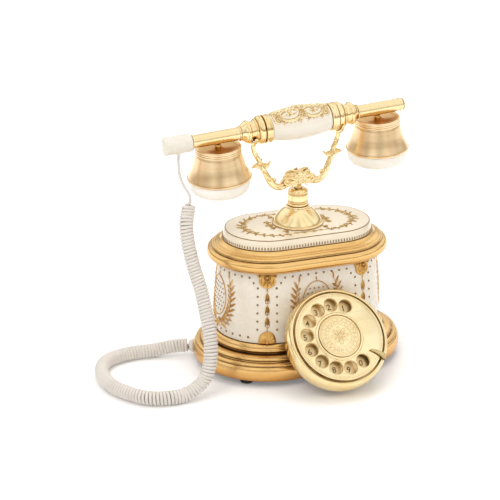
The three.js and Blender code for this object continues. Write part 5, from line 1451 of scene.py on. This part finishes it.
# sections of the plain lead take a steady side direction that meets the coil's
LN = np.zeros_like(lead)
LN[-1] = radial[0]
LT = unit(np.gradient(lead, axis=0))
for i in range(len(lead) - 2, -1, -1):
    v = LN[i + 1] - LT[i] * np.dot(LN[i + 1], LT[i])
    LN[i] = v / np.linalg.norm(v)
cut_i = int(np.searchsorted(S, SPLIT))
wire_upper = helix[:cut_i + 1]
n_upper = radial[:cut_i + 1]
r_upper = wire_r[:cut_i + 1]
plain = piece("cord_lead_wire", *sweep(lead, 1.4, 1.4, ring_shape(14), LN), M_CORD, "handset", "cord_white", sharp=0, rep=["cord_lead"])
upper = piece("cord_hanging", *sweep(wire_upper, r_upper, r_upper, ring_shape(10), n_upper), M_CORD, None, None, sharp=0)
tail = A([helix[-1] + T[-1] * k for k in (0.6, 1.4, 2.4)])
wire_lower = np.vstack([helix[cut_i:], tail])[::-1]
n_lower = np.vstack([radial[cut_i:], np.repeat(radial[-1:], 3, 0)])[::-1]
r_lower = np.concatenate([wire_r[cut_i:], np.full(3, WIRE)])[::-1]
lower = piece("cord_table", *sweep(wire_lower, r_lower, r_lower, ring_shape(10), n_lower), M_CORD, None, None, sharp=0)
mm = lambda p: tuple(float(x) for x in ((A(p) + A([OX, OY, 0])) * 0.001))


def length_of(P):
    return float(np.linalg.norm(np.diff(P, axis=0), axis=1).sum()) / 1000


sp = centre[cut_i]
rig.blend(upper, "cradle", "handset", start=mm((sp[0], sp[1], 62.0)), end=mm((-113.6, -1.6, 172.0)))
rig.blend(lower, "base", "cradle", start=mm((sp[0], sp[1], 14.0)), end=mm((sp[0], sp[1], 52.0)))
for o in (upper, lower):
    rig.slot(o, "cord_white")
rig.replaces(upper, "cord_coil_hanging")
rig.replaces(lower, "cord_coil_table")
up_path = centre[:cut_i + 1:8]
lo_path = centre[cut_i::8][::-1]
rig.cord(plain, exit=mm(LEAD[0]), length=length_of(lead), diameter=0.0028, far_end="object", stiffness="medium", lay="hanging", path=[mm(p) for p in lead])
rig.cord(upper, exit=mm(LEAD[-1]), length=length_of(up_path), diameter=0.0135, far_end="object", stiffness="medium", lay="hanging", path=[mm(p) for p in up_path])
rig.cord(lower, exit=mm(tail[-1]), length=length_of(lo_path), diameter=0.0135, far_end="object", stiffness="medium", lay="loose", path=[mm(p) for p in lo_path])

# ------------------------------------------------------------------ what stays from the frame gets its finish
FINISH = {
    "dial_cable_bush": M_RUBBER, "switch_bracket": M_STEEL, "plunger_spring": M_STEEL, "hook_switch": M_DARK, "circuit_board": M_BOARD,
    "ringer_gong_left": M_BRASS, "ringer_gong_right": M_BRASS, "ringer_coil": M_DARK, "ringer_clapper": M_BRASS, "dial_shaft": M_STEEL, "dial_gear": M_BRASS,
    "dial_governor": M_BRASS, "dial_frame": M_STEEL, "return_spring": M_STEEL, "handset_core_tube": M_STEEL, "receiver_capsule": M_STEEL, "transmitter_capsule": M_STEEL,
}
for node, m in FINISH.items():
    o = frame["nodes"][node]
    if not o.data.materials:
        o.data.materials.append(m)
    for i in range(len(o.data.materials)):
        o.data.materials[i] = m
    for sl in o.material_slots:
        sl.material = m

# ------------------------------------------------------------------ floor, light
fm = bpy.data.meshes.new("floor")
fm.from_pydata([(-6, -6, -0.0002), (6, -6, -0.0002), (6, 6, -0.0002), (-6, 6, -0.0002)], [], [(0, 1, 2, 3)])
floor = bpy.data.objects.new("floor", fm)
bpy.context.scene.collection.objects.link(floor)
fl = Mat("floor_paper")
fl.set(color=fl.ramp(fl.noise(3.0, 2), (0.3, (0.93, 0.93, 0.93)), (0.7, (0.95, 0.95, 0.95))), rough=0.9, spec=0.1)
# painted light: the floor glows, weakly near the stand and more strongly from about 0.4 m to 1.1 m out
fl.b.inputs["Emission Color"].default_value = (1, 1, 1, 1)
far = fl.new("ShaderNodeVectorMath")
far.operation = "LENGTH"
fl.link(fl.co, far.inputs[0])
fl.feed(fl.b.inputs["Emission Strength"], fl.ramp(fl.math("MULTIPLY", far.outputs["Value"], 0.2), (0.08, 0.11), (0.22, 0.60)))
fl.bump(fl.noise(400.0, 2), 0.02, 0.0001)
fm.materials.append(fl.m)
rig.stage(floor)

world = bpy.data.worlds.new("studio")
bpy.context.scene.world = world
world.use_nodes = True
nt = world.node_tree
nt.nodes.clear()
wo = nt.nodes.new("ShaderNodeOutputWorld")
lp, tc = nt.nodes.new("ShaderNodeLightPath"), nt.nodes.new("ShaderNodeTexCoord")
sep = nt.nodes.new("ShaderNodeSeparateXYZ")
nt.links.new(tc.outputs["Generated"], sep.inputs[0])


def world_ramp(fac, *stops):
    n = nt.nodes.new("ShaderNodeValToRGB")
    while len(n.color_ramp.elements) < len(stops):
        n.color_ramp.elements.new(0.5)
    for e, (p, c) in zip(n.color_ramp.elements, stops):
        e.position, e.color = p, ((*c, 1) if isinstance(c, tuple) else (c, c, c, 1))
    nt.links.new(fac, n.inputs[0])
    return n.outputs[0]


def world_mix(a, b, mode, fac=None):
    n = nt.nodes.new("ShaderNodeMix")
    n.data_type, n.blend_type = "RGBA", mode
    n.inputs[0].default_value = 1.0
    if fac is not None:
        nt.links.new(fac, n.inputs[0])
    nt.links.new(a, n.inputs[6])
    if isinstance(b, tuple):
        n.inputs[7].default_value = b
    else:
        nt.links.new(b, n.inputs[7])
    return n.outputs[2]


def world_light(color, strength):
    n = nt.nodes.new("ShaderNodeBackground")
    if isinstance(color, tuple):
        n.inputs[0].default_value = color
    else:
        nt.links.new(color, n.inputs[0])
    n.inputs[1].default_value = strength
    return n.outputs[0]


# what the polished metal sees: a bright studio with a darker band near the horizon and soft upright panels
height = world_ramp(sep.outputs[2], (0.0, (0.76, 0.70, 0.61)), (0.05, (0.50, 0.44, 0.35)), (0.15, (0.33, 0.28, 0.21)), (0.25, (0.82, 0.79, 0.73)), (0.40, (1.0, 0.99, 0.96)), (1.0, (0.94, 0.92, 0.88)))
turn = nt.nodes.new("ShaderNodeTexGradient")
turn.gradient_type = "RADIAL"
nt.links.new(tc.outputs["Generated"], turn.inputs[0])
panels = world_ramp(turn.outputs["Fac"], (0.0, 1.0), (0.07, 0.62), (0.13, 1.0), (0.21, 0.56), (0.26, 1.0), (0.31, 0.80), (0.338, 0.84), (0.372, 1.06), (0.41, 0.58), (0.45, 1.0), (0.56, 0.70), (0.62, 1.0), (0.74, 0.60), (0.80, 1.0), (0.92, 0.70), (1.0, 1.0))
panels = world_mix(panels, (0.96, 0.96, 0.96, 1), "MIX", world_ramp(sep.outputs[2], (0.0, 0.25), (0.40, 0.0), (0.86, 0.0), (0.97, 1.0)))
glossy = world_light(world_mix(height, panels, "MULTIPLY"), 1.34)
diffuse = world_light(world_ramp(sep.outputs[2], (0.0, (0.75, 0.72, 0.68)), (0.3, (0.85, 0.83, 0.80)), (1.0, (1.0, 0.99, 0.97))), 0.56)
m1, m2 = nt.nodes.new("ShaderNodeMixShader"), nt.nodes.new("ShaderNodeMixShader")
nt.links.new(lp.outputs["Is Glossy Ray"], m1.inputs[0])
nt.links.new(diffuse, m1.inputs[1])
nt.links.new(glossy, m1.inputs[2])
nt.links.new(lp.outputs["Is Camera Ray"], m2.inputs[0])
nt.links.new(m1.outputs[0], m2.inputs[1])
nt.links.new(world_light((1, 1, 1, 1), 1.0), m2.inputs[2])
nt.links.new(m2.outputs[0], wo.inputs[0])


def area(name, at, target, size, power, color=(1, 1, 1), sy=None, glossy=False):
    ld = bpy.data.lights.new(name, "AREA")
    ld.shape, ld.size, ld.size_y = "RECTANGLE", size, sy or size
    ld.energy, ld.color = power, color
    o = bpy.data.objects.new(name, ld)
    bpy.context.scene.collection.objects.link(o)
    o.location = at
    o.rotation_euler = (Vector(target) - Vector(at)).to_track_quat("-Z", "Y").to_euler()
    o.visible_glossy = glossy
    return o


area("key", (-1.1, -0.9, 1.6), (0, 0, 0.12), 1.2, 15.0, (1, 0.985, 0.96))
area("fill", (1.4, -1.1, 1.0), (0, 0, 0.12), 1.2, 6.5, (1, 0.98, 0.95))
area("top", (0.1, 0.2, 1.9), (0, 0, 0.1), 1.4, 14.0)
area("rim", (0.7, 1.3, 1.1), (0, 0, 0.15), 0.8, 6.0)

sc = bpy.context.scene
sc.view_settings.view_transform = "Standard"
sc.view_settings.exposure = 0.0
sc.cycles.max_bounces = 8

bpy.context.view_layer.update()
lo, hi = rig.bounds()
json.dump({"cad": [list(CAD_BOX[0]), list(CAD_BOX[1])], "visual": [list(lo), list(hi)]}, open("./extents.json", "w"))
